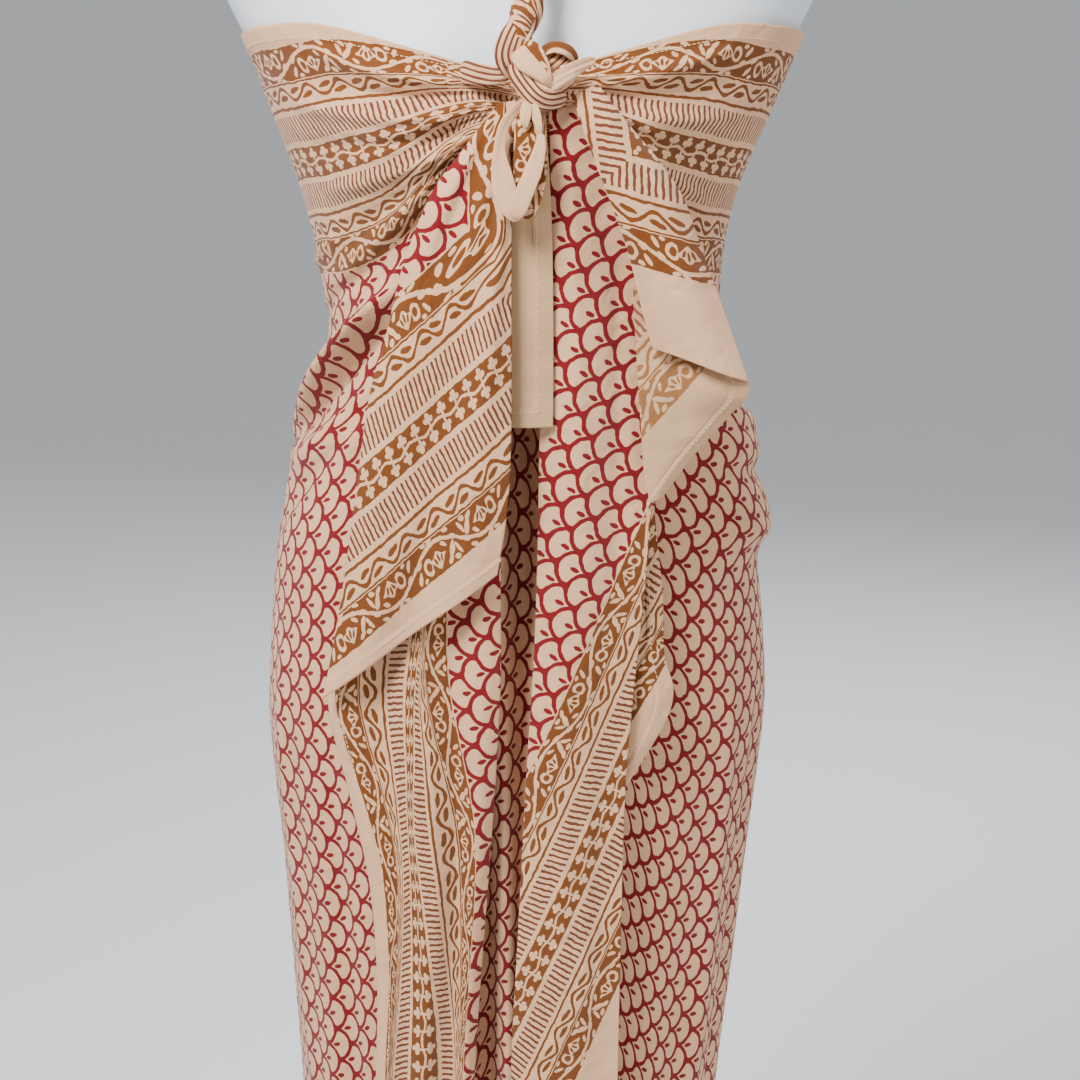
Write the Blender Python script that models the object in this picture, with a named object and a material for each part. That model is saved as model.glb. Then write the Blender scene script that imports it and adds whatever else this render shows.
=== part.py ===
"""A sarong tied as a halter dress, on a limbless dress form with a round stand.

Metres, +Z up, the front toward -Y, the origin on the floor under the middle of the stand.
The cloth is a thin wall in every stretch that shows: the wrap round the body, the falls that
hang from the knot, the knot, its loop and the halter.
"""

import math

import bmesh
import bpy
import numpy as np

MM = 0.001

# Driving sizes, in millimetres
CLOTH_HEIGHT = 1100.0        # short side of the cloth, top hem to bottom hem
KNOT = (18.0, -148.5, 1253.0)
WRAP_WALL = 1.8
FALL_WALL = 1.6
STAND_RADIUS = 150.0
STAND_HEIGHT = 14.0
POLE_RADIUS = 11.0
FORM_FOOT_Z = 782.0
NECK_TOP_Z = 1512.0

# Body sections of the dress form: half width, front and back reach from the middle, by height
FORM_SECTIONS = (
    # height, half, front, back
    (782, 128, 78, 84),
    (790, 148, 93, 98),
    (812, 160, 104, 108),
    (860, 164, 106, 111),
    (905, 161, 104, 109),
    (958, 152, 99, 104),
    (1040, 127, 88, 88),
    (1104, 122, 88, 80),
    (1171, 137, 104, 82),
    (1230, 162, 119, 88),
    (1268, 177, 116, 91),
    (1295, 190, 106, 93),
    (1330, 203, 94, 93),
    (1362, 205, 83, 89),
    (1388, 192, 72, 83),
    (1408, 160, 63, 77),
    (1426, 113, 56, 72),
    (1446, 77, 50, 68),
    (1472, 61, 47, 66),
    (1503, 57, 45, 64),
    (1512, 51, 40, 58),
)

# Sections of the worn cloth: the outer face, by height
WRAP_SECTIONS = (
    # height, left, right, front, back
    (140, 150, 140, 124, 124),
    (330, 150, 138, 121, 118),
    (517, 154, 138, 118, 114),
    (622, 160, 150, 119, 113),
    (715, 166, 160, 122, 114),
    (776, 172, 167, 124, 117),
    (820, 175, 171, 125, 120),
    (886, 172, 168, 124, 120),
    (930, 168, 164, 122, 118),
    (958, 163, 166, 120, 113),
    (994, 152, 162, 117, 105),
    (1029, 138, 150, 115, 98),
    (1077, 130, 138, 113, 90),
    (1104, 132, 135, 113, 86),
    (1138, 137, 137, 114, 86),
    (1171, 145, 144, 116, 88),
    (1230, 166, 168, 123, 92),
    (1270, 181, 184, 120, 95),
    (1300, 193, 195, 112, 98),
)

# Height of the top hem round the body, from the middle of the front (0) to the back (180)
HEM_LINE = (
    # angle, height
    (0, 1249),
    (8, 1257),
    (20, 1268),
    (40, 1281),
    (60, 1279),
    (90, 1270),
    (180, 1266),
)

# Falls of cloth in front of the wrap. A row gives the left and right ends of a level across
# the cloth, how far it stands in front of the middle, and how far its middle bulges
FALLS = {
    "left_fall_upper": {
        "across": 12, "down": 16, "waves": 1.5, "wave": 3.0, "tint": "B98A63",
        # left_x, left_z, right_x, right_z, left_front, right_front, bulge
        "rows": (
            (-13, 1236, 3.4, 1238.3, 150, 149.5, 0),
            (-34, 1209, -5, 1209, 154, 163, 2),
            (-53, 1183, -5, 1175, 157, 166, 3),
            (-70, 1141, -5, 1132, 158, 168, 4),
            (-81, 1098, -5, 1095, 158, 169, 5),
            (-92, 1059, -5, 1059, 158, 169, 5),
            (-104, 980, -6, 1015, 157, 170, 4),
            (-112, 930, -9, 982, 156, 169, 3),
            (-124, 868, -14, 952, 155, 167, 2),
        ),
    },
    "left_fall_lower": {
        "across": 11, "down": 20, "waves": 2.5, "wave": 4.0, "tint": "A8805C",
        "rows": (
            (-11, 1235, 3.1, 1237.3, 143, 144.5, 0),
            (-40, 1180, -8, 1180, 146, 152, 1),
            (-66, 1100, -9, 1100, 144, 153, 2),
            (-88, 1000, -11, 1000, 142, 152, 2),
            (-110, 925, -12, 950, 141, 152, 3),
            (-122, 866, -12, 880, 142, 152, 4),
            (-109, 800, -15, 820, 145, 150, 6),
            (-97, 740, -19, 760, 148, 147, 7),
            (-93, 670, -25, 680, 149, 144, 8),
            (-95, 600, -30, 604, 149, 142, 8),
            (-98, 480, -36, 490, 148, 141, 8),
            (-100, 360, -42, 390, 147, 140, 7),
            (-96, 262, -48, 305, 146, 140, 6),
        ),
    },
    "centre_panel": {
        "across": 10, "down": 18, "waves": 1.0, "wave": 2.5, "tint": "C2443C",
        "rows": (
            (17, 1231, 37, 1236.5, 149, 149, 0),
            (18, 1195, 55, 1195, 152, 146, 2),
            (16, 1150, 71, 1150, 152, 143, 4),
            (14, 1110, 80, 1110, 151, 142, 6),
            (12, 1040, 82, 1040, 150, 142, 7),
            (11, 970, 81, 970, 149, 143, 7),
            (9, 900, 75, 900, 148, 144, 7),
            (4, 813, 68, 813, 146, 145, 7),
            (-1, 710, 66, 710, 143, 144, 7),
            (-6, 604, 65, 604, 141, 142, 7),
            (-8, 450, 64, 450, 140, 141, 6),
            (-6, 300, 60, 288, 140, 141, 6),
        ),
    },
    "right_fall_upper": {
        "across": 10, "down": 14, "waves": 1.0, "wave": -3.5, "tint": "B98A63",
        "rows": (
            (38, 1242, 47, 1247, 152, 148, 1),
            (45, 1222, 66, 1222, 162, 150, 3),
            (52, 1196, 84, 1201, 165, 149, 5),
            (58, 1168, 98, 1180, 167, 148, 6),
            (66, 1144, 110, 1148, 167, 148, 6),
            (75, 1108, 122, 1117, 167, 151, 5),
            (80, 1092, 139, 1070, 166, 156, 3),
        ),
    },
    "right_fall_turned": {
        "across": 8, "down": 10, "waves": 0.5, "wave": 1.5, "tint": "A8805C",
        "rows": (
            (68, 1128, 96, 1131, 151, 140, 0),
            (70, 1095, 120, 1098, 153, 148, 1),
            (72, 1066, 139.3, 1066.6, 155, 154.35, 2),
            (74, 1040, 128, 1048, 154, 149, 2),
            (76, 1015, 106, 1022, 153, 148, 1),
            (80, 994, 88, 997, 152, 149, 0),
        ),
    },
    "right_fall_lower": {
        "across": 6, "down": 16, "waves": 0.5, "wave": 1.0, "tint": "B98A63",
        "rows": (
            (69, 1075, 76, 1076, 142.6, 139.8, 0),
            (70, 1030, 82, 1030, 140, 136, 0),
            (70, 985, 84, 985, 138, 132, 1),
            (68, 930, 90, 930, 137, 131, 1),
            (67, 890, 92, 890, 137, 131, 2),
            (66, 862, 98, 866, 137, 132, 2),
            (66, 838, 92, 843, 137, 133, 1),
            (65, 802, 70, 805, 136, 135, 0),
        ),
    },
    "hanging_end": {
        "across": 4, "down": 10, "waves": 0.5, "wave": 0.6, "tint": "E3D3C3",
        "rows": (
            (4, 1235, 15, 1231.8, 149, 149, 0),
            (-5, 1200, 17, 1200, 156, 157, 1),
            (-7, 1160, 19, 1160, 158, 157, 1),
            (-7, 1100, 20, 1100, 158, 156, 1),
            (-7, 1042, 20, 1042, 157, 156, 1),
        ),
    },
}


def between(x, table, column, key=0):
    """Smooth value of a table's column at x, with no overshoot kink at its rows."""
    keys = np.array([row[key] for row in table], float)
    values = np.array([row[column] for row in table], float)
    x = np.clip(np.asarray(x, float), keys[0], keys[-1])
    slope = np.gradient(values, keys)
    i = np.clip(np.searchsorted(keys, x) - 1, 0, len(keys) - 2)
    step = keys[i + 1] - keys[i]
    f = (x - keys[i]) / step
    rise = f * f * (3 - 2 * f)
    return (
        values[i] * (1 - rise) + values[i + 1] * rise
        + step * (slope[i] * f * (1 - f) ** 2 - slope[i + 1] * f * f * (1 - f))
    )


def bell(x, middle, width):
    return np.exp(-((x - middle) / width) ** 2)


def step_up(x, low, high):
    f = np.clip((x - low) / (high - low), 0, 1)
    return f * f * (3 - 2 * f)


def round_section(angle, left, right, front, back, fullness):
    """Point on a body section: angle 0 is the middle of the front, positive toward +X."""
    side, ahead = np.sin(angle), np.cos(angle)
    power = 2 / fullness
    x = np.where(side > 0, right, left) * np.sign(side) * np.abs(side) ** power
    y = -np.where(ahead > 0, front, back) * np.sign(ahead) * np.abs(ahead) ** power
    return x, y


def bust(x, z, bridged):
    """Fullness of the bust in front of a section. Cloth bridges the hollow between."""
    off = np.abs(x) - 72
    if bridged:
        off = np.maximum(off, 0)
    return 13 * bell(off, 0, 44) * bell(z, 1208, 46)


def wrap_point(angle, down):
    """Outer face of the wrap, where down is the distance in the cloth from the top hem."""
    turn = np.degrees(np.abs(angle))
    top = between(turn, HEM_LINE, 1)
    pulled = bell(turn, 0, 23)
    gathered = np.minimum(down, 200)
    z = top - down + pulled * 0.75 * gathered
    x, y = round_section(
        angle,
        between(z, WRAP_SECTIONS, 1),
        between(z, WRAP_SECTIONS, 2),
        between(z, WRAP_SECTIONS, 3),
        between(z, WRAP_SECTIONS, 4),
        2.25,
    )
    y = y - np.where(np.cos(angle) > 0, bust(x, z, True), 0)
    out = wrap_folds(angle, down, x, z)
    return x + out * np.sin(angle), y - out * np.cos(angle), z


def wrap_folds(angle, down, x, z):
    """How far the folds stand out of the section."""
    turn = np.degrees(angle)
    gather = bell(np.abs(turn), 18, 17) * step_up(200 - down, 0, 50) * step_up(down, 0, 16)
    folds = 5.0 * gather * (0.5 - 0.5 * np.cos(2 * math.pi * down / 50))
    # drag folds that run down and back from the front of the left hip
    left = step_up(-turn, 22, 48) * step_up(-turn, 135, 95)
    folds = folds + left * 10 * bell(z, 1096 + 0.72 * turn, 15)
    folds = folds + left * 6 * bell(z, 1050 + 0.60 * turn, 14)
    # slack that hangs over the right hip
    right = step_up(turn, 40, 70) * step_up(turn, 140, 100)
    folds = folds + right * (5 * bell(z, 1010, 18) + 6 * bell(z, 955, 17))
    # pleats of the recess between the falls
    deep = step_up(1150 - z, 0, 130) * step_up(46 - np.abs(x - 2), 0, 14) * (np.cos(angle) > 0)
    lean = (x - 2 + 0.02 * (z - 900)) / 30
    folds = folds + 13 * deep * (0.5 - 0.5 * np.cos(2 * math.pi * lean))
    # soft upright folds of the skirt, deeper toward the hem
    loose = step_up(1000 - z, 0, 800) * step_up(np.abs(x) + 60 * (np.cos(angle) < 0), 48, 75)
    ripple = 0.5 + 0.3 * np.sin(13 * angle + 0.8) + 0.2 * np.sin(7 * angle + 2.1)
    return folds + 9 * loose * ripple


def wrap_angles(front_columns, other_columns):
    """Columns of the wrap, closer together over the pleats in front."""
    edge = math.radians(20)
    front = np.linspace(-edge, edge, front_columns, endpoint=False)
    rest = np.linspace(edge, 2 * math.pi - edge, other_columns, endpoint=False)
    around = np.concatenate([front, rest])
    return np.where(around > math.pi, around - 2 * math.pi, around)


def wrap_downs(gather_rows, hip_rows, skirt_rows):
    return np.concatenate([
        np.linspace(0, 200, gather_rows, endpoint=False),
        np.linspace(200, 330, hip_rows, endpoint=False),
        np.linspace(330, CLOTH_HEIGHT, skirt_rows + 1),
    ])


def fall_grid(spec, across, down):
    """Outer face of a hanging stretch, rows from the knot down, columns from left to right."""
    rows = [(i,) + row for i, row in enumerate(spec["rows"])]
    v = np.linspace(0, len(rows) - 1, down + 1)[:, None]
    u = np.linspace(0, 1, across + 1)[None, :]
    left_x, left_z, right_x, right_z, left_y, right_y, bulge = (
        between(v, rows, column) for column in range(1, 8)
    )
    fade = step_up(v, 0, 2)
    wave = spec["wave"] * fade * np.sin(2 * math.pi * spec["waves"] * u)
    x = left_x * (1 - u) + right_x * u
    z = left_z * (1 - u) + right_z * u
    y = -(left_y * (1 - u) + right_y * u + bulge * np.sin(math.pi * u) + wave)
    return np.stack([x, y, z], axis=-1)


def grid_normals(grid, closed):
    """Unit normals of a grid of points, toward the right-hand side of rows x columns."""
    if closed:
        along = np.roll(grid, -1, axis=1) - np.roll(grid, 1, axis=1)
    else:
        along = np.gradient(grid, axis=1)
    down = np.gradient(grid, axis=0)
    normals = np.cross(down, along)
    return normals / np.linalg.norm(normals, axis=2, keepdims=True)


def make_material(name, tint, roughness, metallic=0.0):
    material = bpy.data.materials.new(name)
    material.use_nodes = True
    parts = [int(tint[i:i + 2], 16) / 255 for i in (0, 2, 4)]
    linear = [p / 12.92 if p <= 0.04045 else ((p + 0.055) / 1.055) ** 2.4 for p in parts]
    shader = material.node_tree.nodes["Principled BSDF"]
    shader.inputs["Base Color"].default_value = (*linear, 1)
    shader.inputs["Roughness"].default_value = roughness
    shader.inputs["Metallic"].default_value = metallic
    return material


def make_object(name, points, faces, material):
    """Mesh object from points in millimetres, its faces turned outward."""
    mesh = bpy.data.meshes.new(name)
    mesh.from_pydata([tuple(p * MM for p in point) for point in points], [], faces)
    shape = bmesh.new()
    shape.from_mesh(mesh)
    bmesh.ops.recalc_face_normals(shape, faces=shape.faces)
    shape.to_mesh(mesh)
    shape.free()
    mesh.shade_smooth()
    mesh.materials.append(material)
    made = bpy.data.objects.new(name, mesh)
    bpy.context.collection.objects.link(made)
    return made


def make_wall(name, outer, wall, closed, material):
    """Closed body between a grid of points and the same grid moved in by the wall."""
    inner = outer - grid_normals(outer, closed) * wall
    rows, columns = outer.shape[:2]
    count = rows * columns
    points = np.concatenate([outer.reshape(-1, 3), inner.reshape(-1, 3)])
    spans = columns if closed else columns - 1
    faces = []
    for r in range(rows - 1):
        for c in range(spans):
            a, b = r * columns + c, r * columns + (c + 1) % columns
            faces.append((a, a + columns, b + columns))
            faces.append((a, b + columns, b))
            faces.append((count + a, count + b + columns, count + a + columns))
            faces.append((count + a, count + b, count + b + columns))
    for c in range(spans):
        a, b = c, (c + 1) % columns
        low = (rows - 1) * columns
        faces.append((b, count + b, count + a, a))
        faces.append((low + a, count + low + a, count + low + b, low + b))
    if not closed:
        for r in range(rows - 1):
            a, b = r * columns, (r + 1) * columns
            last = columns - 1
            faces.append((a, count + a, count + b, b))
            faces.append((b + last, count + b + last, count + a + last, a + last))
    return make_object(name, points, faces, material)


def make_tube(name, rings, closed, material):
    """Closed body through rings of points: a loop when closed, or capped at both ends."""
    rings = [np.asarray(ring) for ring in rings]
    sides = len(rings[0])
    points = np.concatenate(rings)
    faces = []
    spans = len(rings) if closed else len(rings) - 1
    for r in range(spans):
        low, high = r * sides, (r + 1) % len(rings) * sides
        for s in range(sides):
            t = (s + 1) % sides
            faces.append((low + s, low + t, high + t, high + s))
    if not closed:
        faces.append(tuple(reversed(range(sides))))
        faces.append(tuple(range(len(points) - sides, len(points))))
    return make_object(name, points, faces, material)


def rope_rings(path, radius, sides, lobes, pitch, closed):
    """Rings of a twisted rope along a path: its strands turn once in each pitch."""
    path = np.asarray(path, float)
    if closed:
        ahead = np.roll(path, -1, axis=0) - np.roll(path, 1, axis=0)
    else:
        ahead = np.gradient(path, axis=0)
    ahead /= np.linalg.norm(ahead, axis=1, keepdims=True)
    steps = np.linalg.norm(np.diff(path, axis=0), axis=1)
    along = np.concatenate([[0], np.cumsum(steps)])
    if closed:
        whole = along[-1] + np.linalg.norm(path[0] - path[-1])
        pitch = whole / round(whole / pitch)
    across = np.cross(ahead, (0.0, 1.0, 0.02))
    across /= np.linalg.norm(across, axis=1, keepdims=True)
    other = np.cross(ahead, across)
    rings = []
    for i, centre in enumerate(path):
        turn = 2 * math.pi * along[i] / pitch
        angle = np.linspace(0, 2 * math.pi, sides, endpoint=False)
        lobe = radius[i] * (1 + 0.13 * np.cos(lobes * (angle - turn)))
        rings.append(
            centre
            + np.outer(lobe * np.cos(angle), across[i])
            + np.outer(lobe * np.sin(angle), other[i])
        )
    return rings


def make_wrap(front_columns=18, other_columns=44):
    angles = wrap_angles(front_columns, other_columns)[None, :]
    downs = wrap_downs(13, 9, 12)[:, None]
    x, y, z = wrap_point(angles, downs)
    grid = np.stack([x, y, z], axis=-1)
    material = make_material("printed_cotton_wrap", "CDAE98", 0.85)
    return make_wall("wrap", grid, WRAP_WALL, True, material)


def make_falls():
    for name, spec in FALLS.items():
        grid = fall_grid(spec, spec["across"], spec["down"])
        material = make_material("cotton_" + name, spec["tint"], 0.85)
        make_wall(name, grid, FALL_WALL, False, material)


def make_knot(rounds=22, levels=15):
    """Wad of wound strands: a squat ball with the strands as diagonal ridges."""
    half = np.array((22.5, 15.0, 20.0))
    rings = []
    for level in np.linspace(0.06, 0.94, levels):
        tilt = math.pi * level
        turn = np.linspace(0, 2 * math.pi, rounds, endpoint=False)
        ball = np.stack([
            np.full(rounds, math.cos(tilt)),
            math.sin(tilt) * np.cos(turn),
            math.sin(tilt) * np.sin(turn),
        ], axis=-1)
        band = 2.4 * (0.75 * ball[:, 0] + 0.8 * ball[:, 2]) + 0.9 * ball[:, 1]
        grow = 1 + 0.08 * np.cos(math.pi * band)
        rings.append(np.array(KNOT) + ball * half * grow[:, None])
    material = make_material("cotton_knot", "C79A72", 0.85)
    return make_tube("knot", rings, False, material)


def make_loop(steps=26, sides=8):
    """Teardrop loop of folded cloth that hangs from the knot."""
    turn = np.linspace(0, 2 * math.pi, steps, endpoint=False)
    drop = 0.5 - 0.5 * np.cos(turn)
    half_width = 15.0 * np.sin(turn)
    path = np.stack([
        5 - half_width - 9 * drop,
        -158 - 19 * np.sqrt(drop),
        1235.8 - 65 * drop,
    ], axis=-1)
    ahead = np.roll(path, -1, axis=0) - np.roll(path, 1, axis=0)
    ahead /= np.linalg.norm(ahead, axis=1, keepdims=True)
    flat = np.cross(ahead, (0.0, 1.0, 0.0))
    flat /= np.linalg.norm(flat, axis=1, keepdims=True)
    wide = np.cross(ahead, flat)
    angle = np.linspace(0, 2 * math.pi, sides, endpoint=False)
    rings = [
        centre + np.outer(4.4 * np.cos(angle), flat[i]) + np.outer(4.8 * np.sin(angle), wide[i])
        for i, centre in enumerate(path)
    ]
    material = make_material("cotton_loop", "E0C8AC", 0.85)
    return make_tube("knot_loop", rings, True, material)


def make_halter(steps=30, sides=10):
    """Twisted rope from the top of the knot up the chest to the throat."""
    route = (
        # step, x, y, z
        (0, -11.5, -147.5, 1270.2),
        (1, 4, -140, 1289),
        (2, 10, -122, 1320),
        (3, 6, -92.5, 1378),
        (4, 2, -69.0, 1424),
        (5, 0, -60.0, 1454.1),
    )
    at = np.linspace(0, 5, steps)
    path = np.stack([between(at, route, column) for column in (1, 2, 3)], axis=-1)
    radius = 7.4 + 2.6 * bell(at, 0, 0.6)
    material = make_material("cotton_halter", "C79A72", 0.85)
    rings = rope_rings(path, radius, sides, 3, 26, False)
    return make_tube("halter_rope", rings, False, material)


def make_neck_ring(steps=44, sides=10):
    """The same rope round the foot of the neck, higher at the back."""
    angle = np.linspace(0, 2 * math.pi, steps, endpoint=False)
    z = 1461 + 13 * (0.5 - 0.5 * np.cos(angle))
    reach = 10.0
    x, y = round_section(
        angle,
        between(z - 6, FORM_SECTIONS, 1) + reach,
        between(z - 6, FORM_SECTIONS, 1) + reach,
        between(z - 6, FORM_SECTIONS, 2) + reach,
        between(z - 6, FORM_SECTIONS, 3) + reach,
        2.0,
    )
    path = np.stack([x, y, z], axis=-1)
    ahead = np.roll(path, -1, axis=0) - np.roll(path, 1, axis=0)
    ahead /= np.linalg.norm(ahead, axis=1, keepdims=True)
    out = np.cross(ahead, (0.0, 0.0, 1.0))
    out /= np.linalg.norm(out, axis=1, keepdims=True)
    other = np.cross(ahead, out)
    length = np.concatenate([[0], np.cumsum(np.linalg.norm(np.diff(path, axis=0), axis=1))])
    turns = round(length[-1] / 26)
    around = np.linspace(0, 2 * math.pi, sides, endpoint=False)
    rings = []
    for i, centre in enumerate(path):
        lobe = 6.4 * (1 + 0.13 * np.cos(3 * around - 2 * math.pi * turns * i / steps))
        rings.append(
            centre
            + np.outer(lobe * np.cos(around), out[i])
            + np.outer(lobe * np.sin(around), other[i])
        )
    material = make_material("cotton_neck_ring", "C79A72", 0.85)
    return make_tube("neck_ring", rings, True, material)


def form_point(angle, z):
    half = between(z, FORM_SECTIONS, 1)
    x, y = round_section(
        angle, half, half,
        between(z, FORM_SECTIONS, 2),
        between(z, FORM_SECTIONS, 3),
        2.25,
    )
    return x, y - np.where(np.cos(angle) > 0, bust(x, z, False), 0), z


def make_form(columns=30, rows=28):
    angles = np.linspace(0, 2 * math.pi, columns, endpoint=False)
    rings = []
    for z in np.linspace(FORM_FOOT_Z, NECK_TOP_Z, rows):
        x, y, _ = form_point(angles, z)
        rings.append(np.stack([x, y, np.full(columns, z)], axis=-1))
    material = make_material("white_form_shell", "DDE3EA", 0.55)
    return make_tube("dress_form", rings, False, material)


def make_stand():
    steel = make_material("brushed_steel_stand", "B4B6B8", 0.35, 1.0)
    angle = np.linspace(0, 2 * math.pi, 36, endpoint=False)
    circle = np.stack([np.cos(angle), np.sin(angle), 0 * angle], axis=-1)
    profile = (
        # radius, height
        (STAND_RADIUS - 3, 0),
        (STAND_RADIUS, 3),
        (STAND_RADIUS, STAND_HEIGHT - 4),
        (STAND_RADIUS - 5, STAND_HEIGHT),
    )
    rings = [circle * radius + (0, 0, height) for radius, height in profile]
    make_tube("stand_base", rings, False, steel)
    thin = circle[::3] * POLE_RADIUS
    heights = (STAND_HEIGHT + 0.3, FORM_FOOT_Z - 0.3)
    make_tube("stand_pole", [thin + (0, 0, height) for height in heights], False, steel)


def main():
    for old in list(bpy.data.objects):
        bpy.data.objects.remove(old, do_unlink=True)
    make_wrap()
    make_falls()
    make_knot()
    make_loop()
    make_halter()
    make_neck_ring()
    make_form()
    make_stand()


main()
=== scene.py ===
"""Looks of a block-printed cotton sarong, tied as a halter dress on a limbless dress form."""

import math

import bmesh
import bpy
import numpy as np
from bpy.props import FloatProperty, FloatVectorProperty, IntProperty, PointerProperty
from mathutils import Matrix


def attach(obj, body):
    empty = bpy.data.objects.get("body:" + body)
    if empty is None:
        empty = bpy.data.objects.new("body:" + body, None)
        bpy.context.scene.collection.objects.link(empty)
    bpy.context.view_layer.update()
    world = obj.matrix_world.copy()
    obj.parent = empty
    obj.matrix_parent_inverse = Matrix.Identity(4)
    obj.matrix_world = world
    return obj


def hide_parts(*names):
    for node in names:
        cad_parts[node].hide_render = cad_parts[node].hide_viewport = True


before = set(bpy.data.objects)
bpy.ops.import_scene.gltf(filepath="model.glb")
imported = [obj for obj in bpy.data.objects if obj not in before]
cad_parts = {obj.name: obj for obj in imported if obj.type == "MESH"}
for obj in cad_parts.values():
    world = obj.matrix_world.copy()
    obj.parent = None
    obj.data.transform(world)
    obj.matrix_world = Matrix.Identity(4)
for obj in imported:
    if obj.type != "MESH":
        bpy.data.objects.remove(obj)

bl_info = {
    "name": "Sarong on a dress form",
    "version": (1, 0, 0),
    "blender": (4, 5, 0),
    "location": "3D View > Sidebar > Sarong",
    "description": "Makes the cloth, knot, halter, form and stand of a printed cotton sarong",
    "category": "Object",
}

MM = 0.001

# Millimetres, as all the tables below are
HEM_WIDTH = 11.0
STITCHES_IN = 1.5
WRAP_DROP = 1100
FORM_FOOT, FORM_TOP = 782, 1512
BORDER_MIDDLE = 70
SCALE_RADIUS = 11
VINE_PITCH, BRAID_PITCH, FLOWER_PITCH = 12.5, 14, 44
# Body sections are a little squarer than an ellipse, which would be 2
FULLNESS = 2.25

# Body sections of the dress form
FORM_SECTIONS = (
    # height, half, front, back
    (782, 128, 78, 84),
    (790, 148, 93, 98),
    (812, 160, 104, 108),
    (860, 164, 106, 111),
    (905, 161, 104, 109),
    (958, 152, 99, 104),
    (1040, 127, 88, 88),
    (1104, 122, 88, 80),
    (1171, 137, 104, 82),
    (1230, 162, 119, 88),
    (1268, 177, 116, 91),
    (1295, 190, 106, 93),
    (1330, 203, 94, 93),
    (1362, 205, 83, 89),
    (1388, 192, 72, 83),
    (1408, 160, 63, 77),
    (1426, 113, 56, 72),
    (1446, 77, 50, 68),
    (1472, 61, 47, 66),
    (1503, 57, 45, 64),
    (1512, 51, 40, 58),
)

# Sections of the worn cloth
WRAP_SECTIONS = (
    # height, left, right, front, back
    (140, 150, 140, 124, 124),
    (330, 150, 138, 121, 118),
    (517, 154, 138, 118, 114),
    (622, 160, 150, 119, 113),
    (715, 166, 160, 122, 114),
    (776, 172, 167, 124, 117),
    (820, 175, 171, 125, 120),
    (886, 172, 168, 124, 120),
    (930, 168, 164, 122, 118),
    (958, 163, 166, 120, 113),
    (994, 152, 162, 117, 105),
    (1029, 138, 150, 115, 98),
    (1077, 130, 138, 113, 90),
    (1104, 132, 135, 113, 86),
    (1138, 137, 137, 114, 86),
    (1171, 145, 144, 116, 88),
    (1230, 166, 168, 123, 92),
    (1270, 181, 184, 120, 95),
    (1300, 193, 195, 112, 98),
)

# Height of the top hem round the body, from the middle of the front (0) to the back (180)
HEM_LINE = (
    # angle, height
    (0, 1249),
    (8, 1257),
    (20, 1268),
    (40, 1281),
    (60, 1279),
    (90, 1270),
    (180, 1266),
)

# Creases of the wrap: each runs from a start past a bend to an end, and a minus depth is a trough
WRAP_CREASES = (
    # turn, height, bend_turn, bend_height, end_turn, end_height, width, depth
    (-9, 1243, -24, 1250, -44, 1266, 5, 3.2),
    (-9, 1234, -26, 1236, -52, 1252, 5, -2.0),
    (-9, 1228, -26, 1222, -58, 1233, 6, 3.5),
    (-10, 1219, -28, 1205, -62, 1206, 6, -2.4),
    (-10, 1212, -26, 1186, -58, 1176, 6, 3.2),
    (-12, 1203, -28, 1168, -56, 1146, 7, -2.4),
    (-14, 1193, -30, 1150, -60, 1120, 6, 3),
    (13, 1246, 26, 1252, 44, 1266, 5, 3),
    (13, 1238, 28, 1236, 52, 1248, 5, -2.0),
    (13, 1230, 30, 1220, 58, 1224, 6, 3),
    (15, 1222, 32, 1202, 60, 1198, 6, -2.2),
    (18, 1212, 34, 1184, 58, 1166, 6, 2.7),
    (-34, 1118, -58, 1080, -92, 1028, 5, 3.0),
    (-36, 1094, -60, 1054, -92, 1004, 6, -4.6),
    (-40, 1062, -60, 1020, -88, 968, 7, 2.6),
    (-36, 1136, -60, 1110, -96, 1082, 6, -2.8),
    (-42, 1040, -60, 992, -86, 940, 8, -2.6),
    (-40, 1160, -62, 1138, -94, 1120, 6, 2.2),
    (44, 1104, 62, 1082, 92, 1062, 8, 2.4),
    (46, 1078, 64, 1052, 98, 1030, 7, -2.6),
    (50, 1046, 70, 1030, 104, 1012, 8, 3.0),
    (52, 1000, 72, 988, 106, 978, 9, -3.0),
    (54, 962, 72, 946, 100, 938, 9, 2.4),
    (-116, 1092, -140, 1070, -172, 1052, 9, 2.6),
    (-112, 1058, -138, 1040, -168, 1022, 8, -2.4),
    (-120, 1020, -146, 1004, -176, 990, 10, 2.2),
    (118, 1100, 142, 1078, 170, 1062, 9, 2.2),
    (114, 1066, 140, 1044, 172, 1030, 8, -2.4),
    (122, 1026, 148, 1008, 174, 996, 10, 2.4),
    (-150, 1240, -158, 1180, -166, 1112, 8, 2.0),
    (152, 1236, 160, 1172, 168, 1104, 8, -1.8),
    (-66, 880, -70, 700, -64, 420, 13, 3.4),
    (-44, 820, -48, 640, -40, 330, 12, -3.2),
    (-88, 840, -92, 620, -86, 300, 14, 3.0),
    (52, 860, 56, 660, 48, 360, 12, 3.2),
    (70, 840, 74, 600, 68, 280, 14, -3.0),
    (94, 830, 98, 560, 90, 240, 14, 3.4),
    (-126, 880, -132, 640, -124, 300, 15, 3.2),
    (128, 860, 134, 620, 126, 280, 15, -3.0),
    (-156, 840, -162, 600, -154, 260, 14, -3.0),
    (158, 850, 164, 620, 156, 290, 14, 3.4),
)

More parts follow.
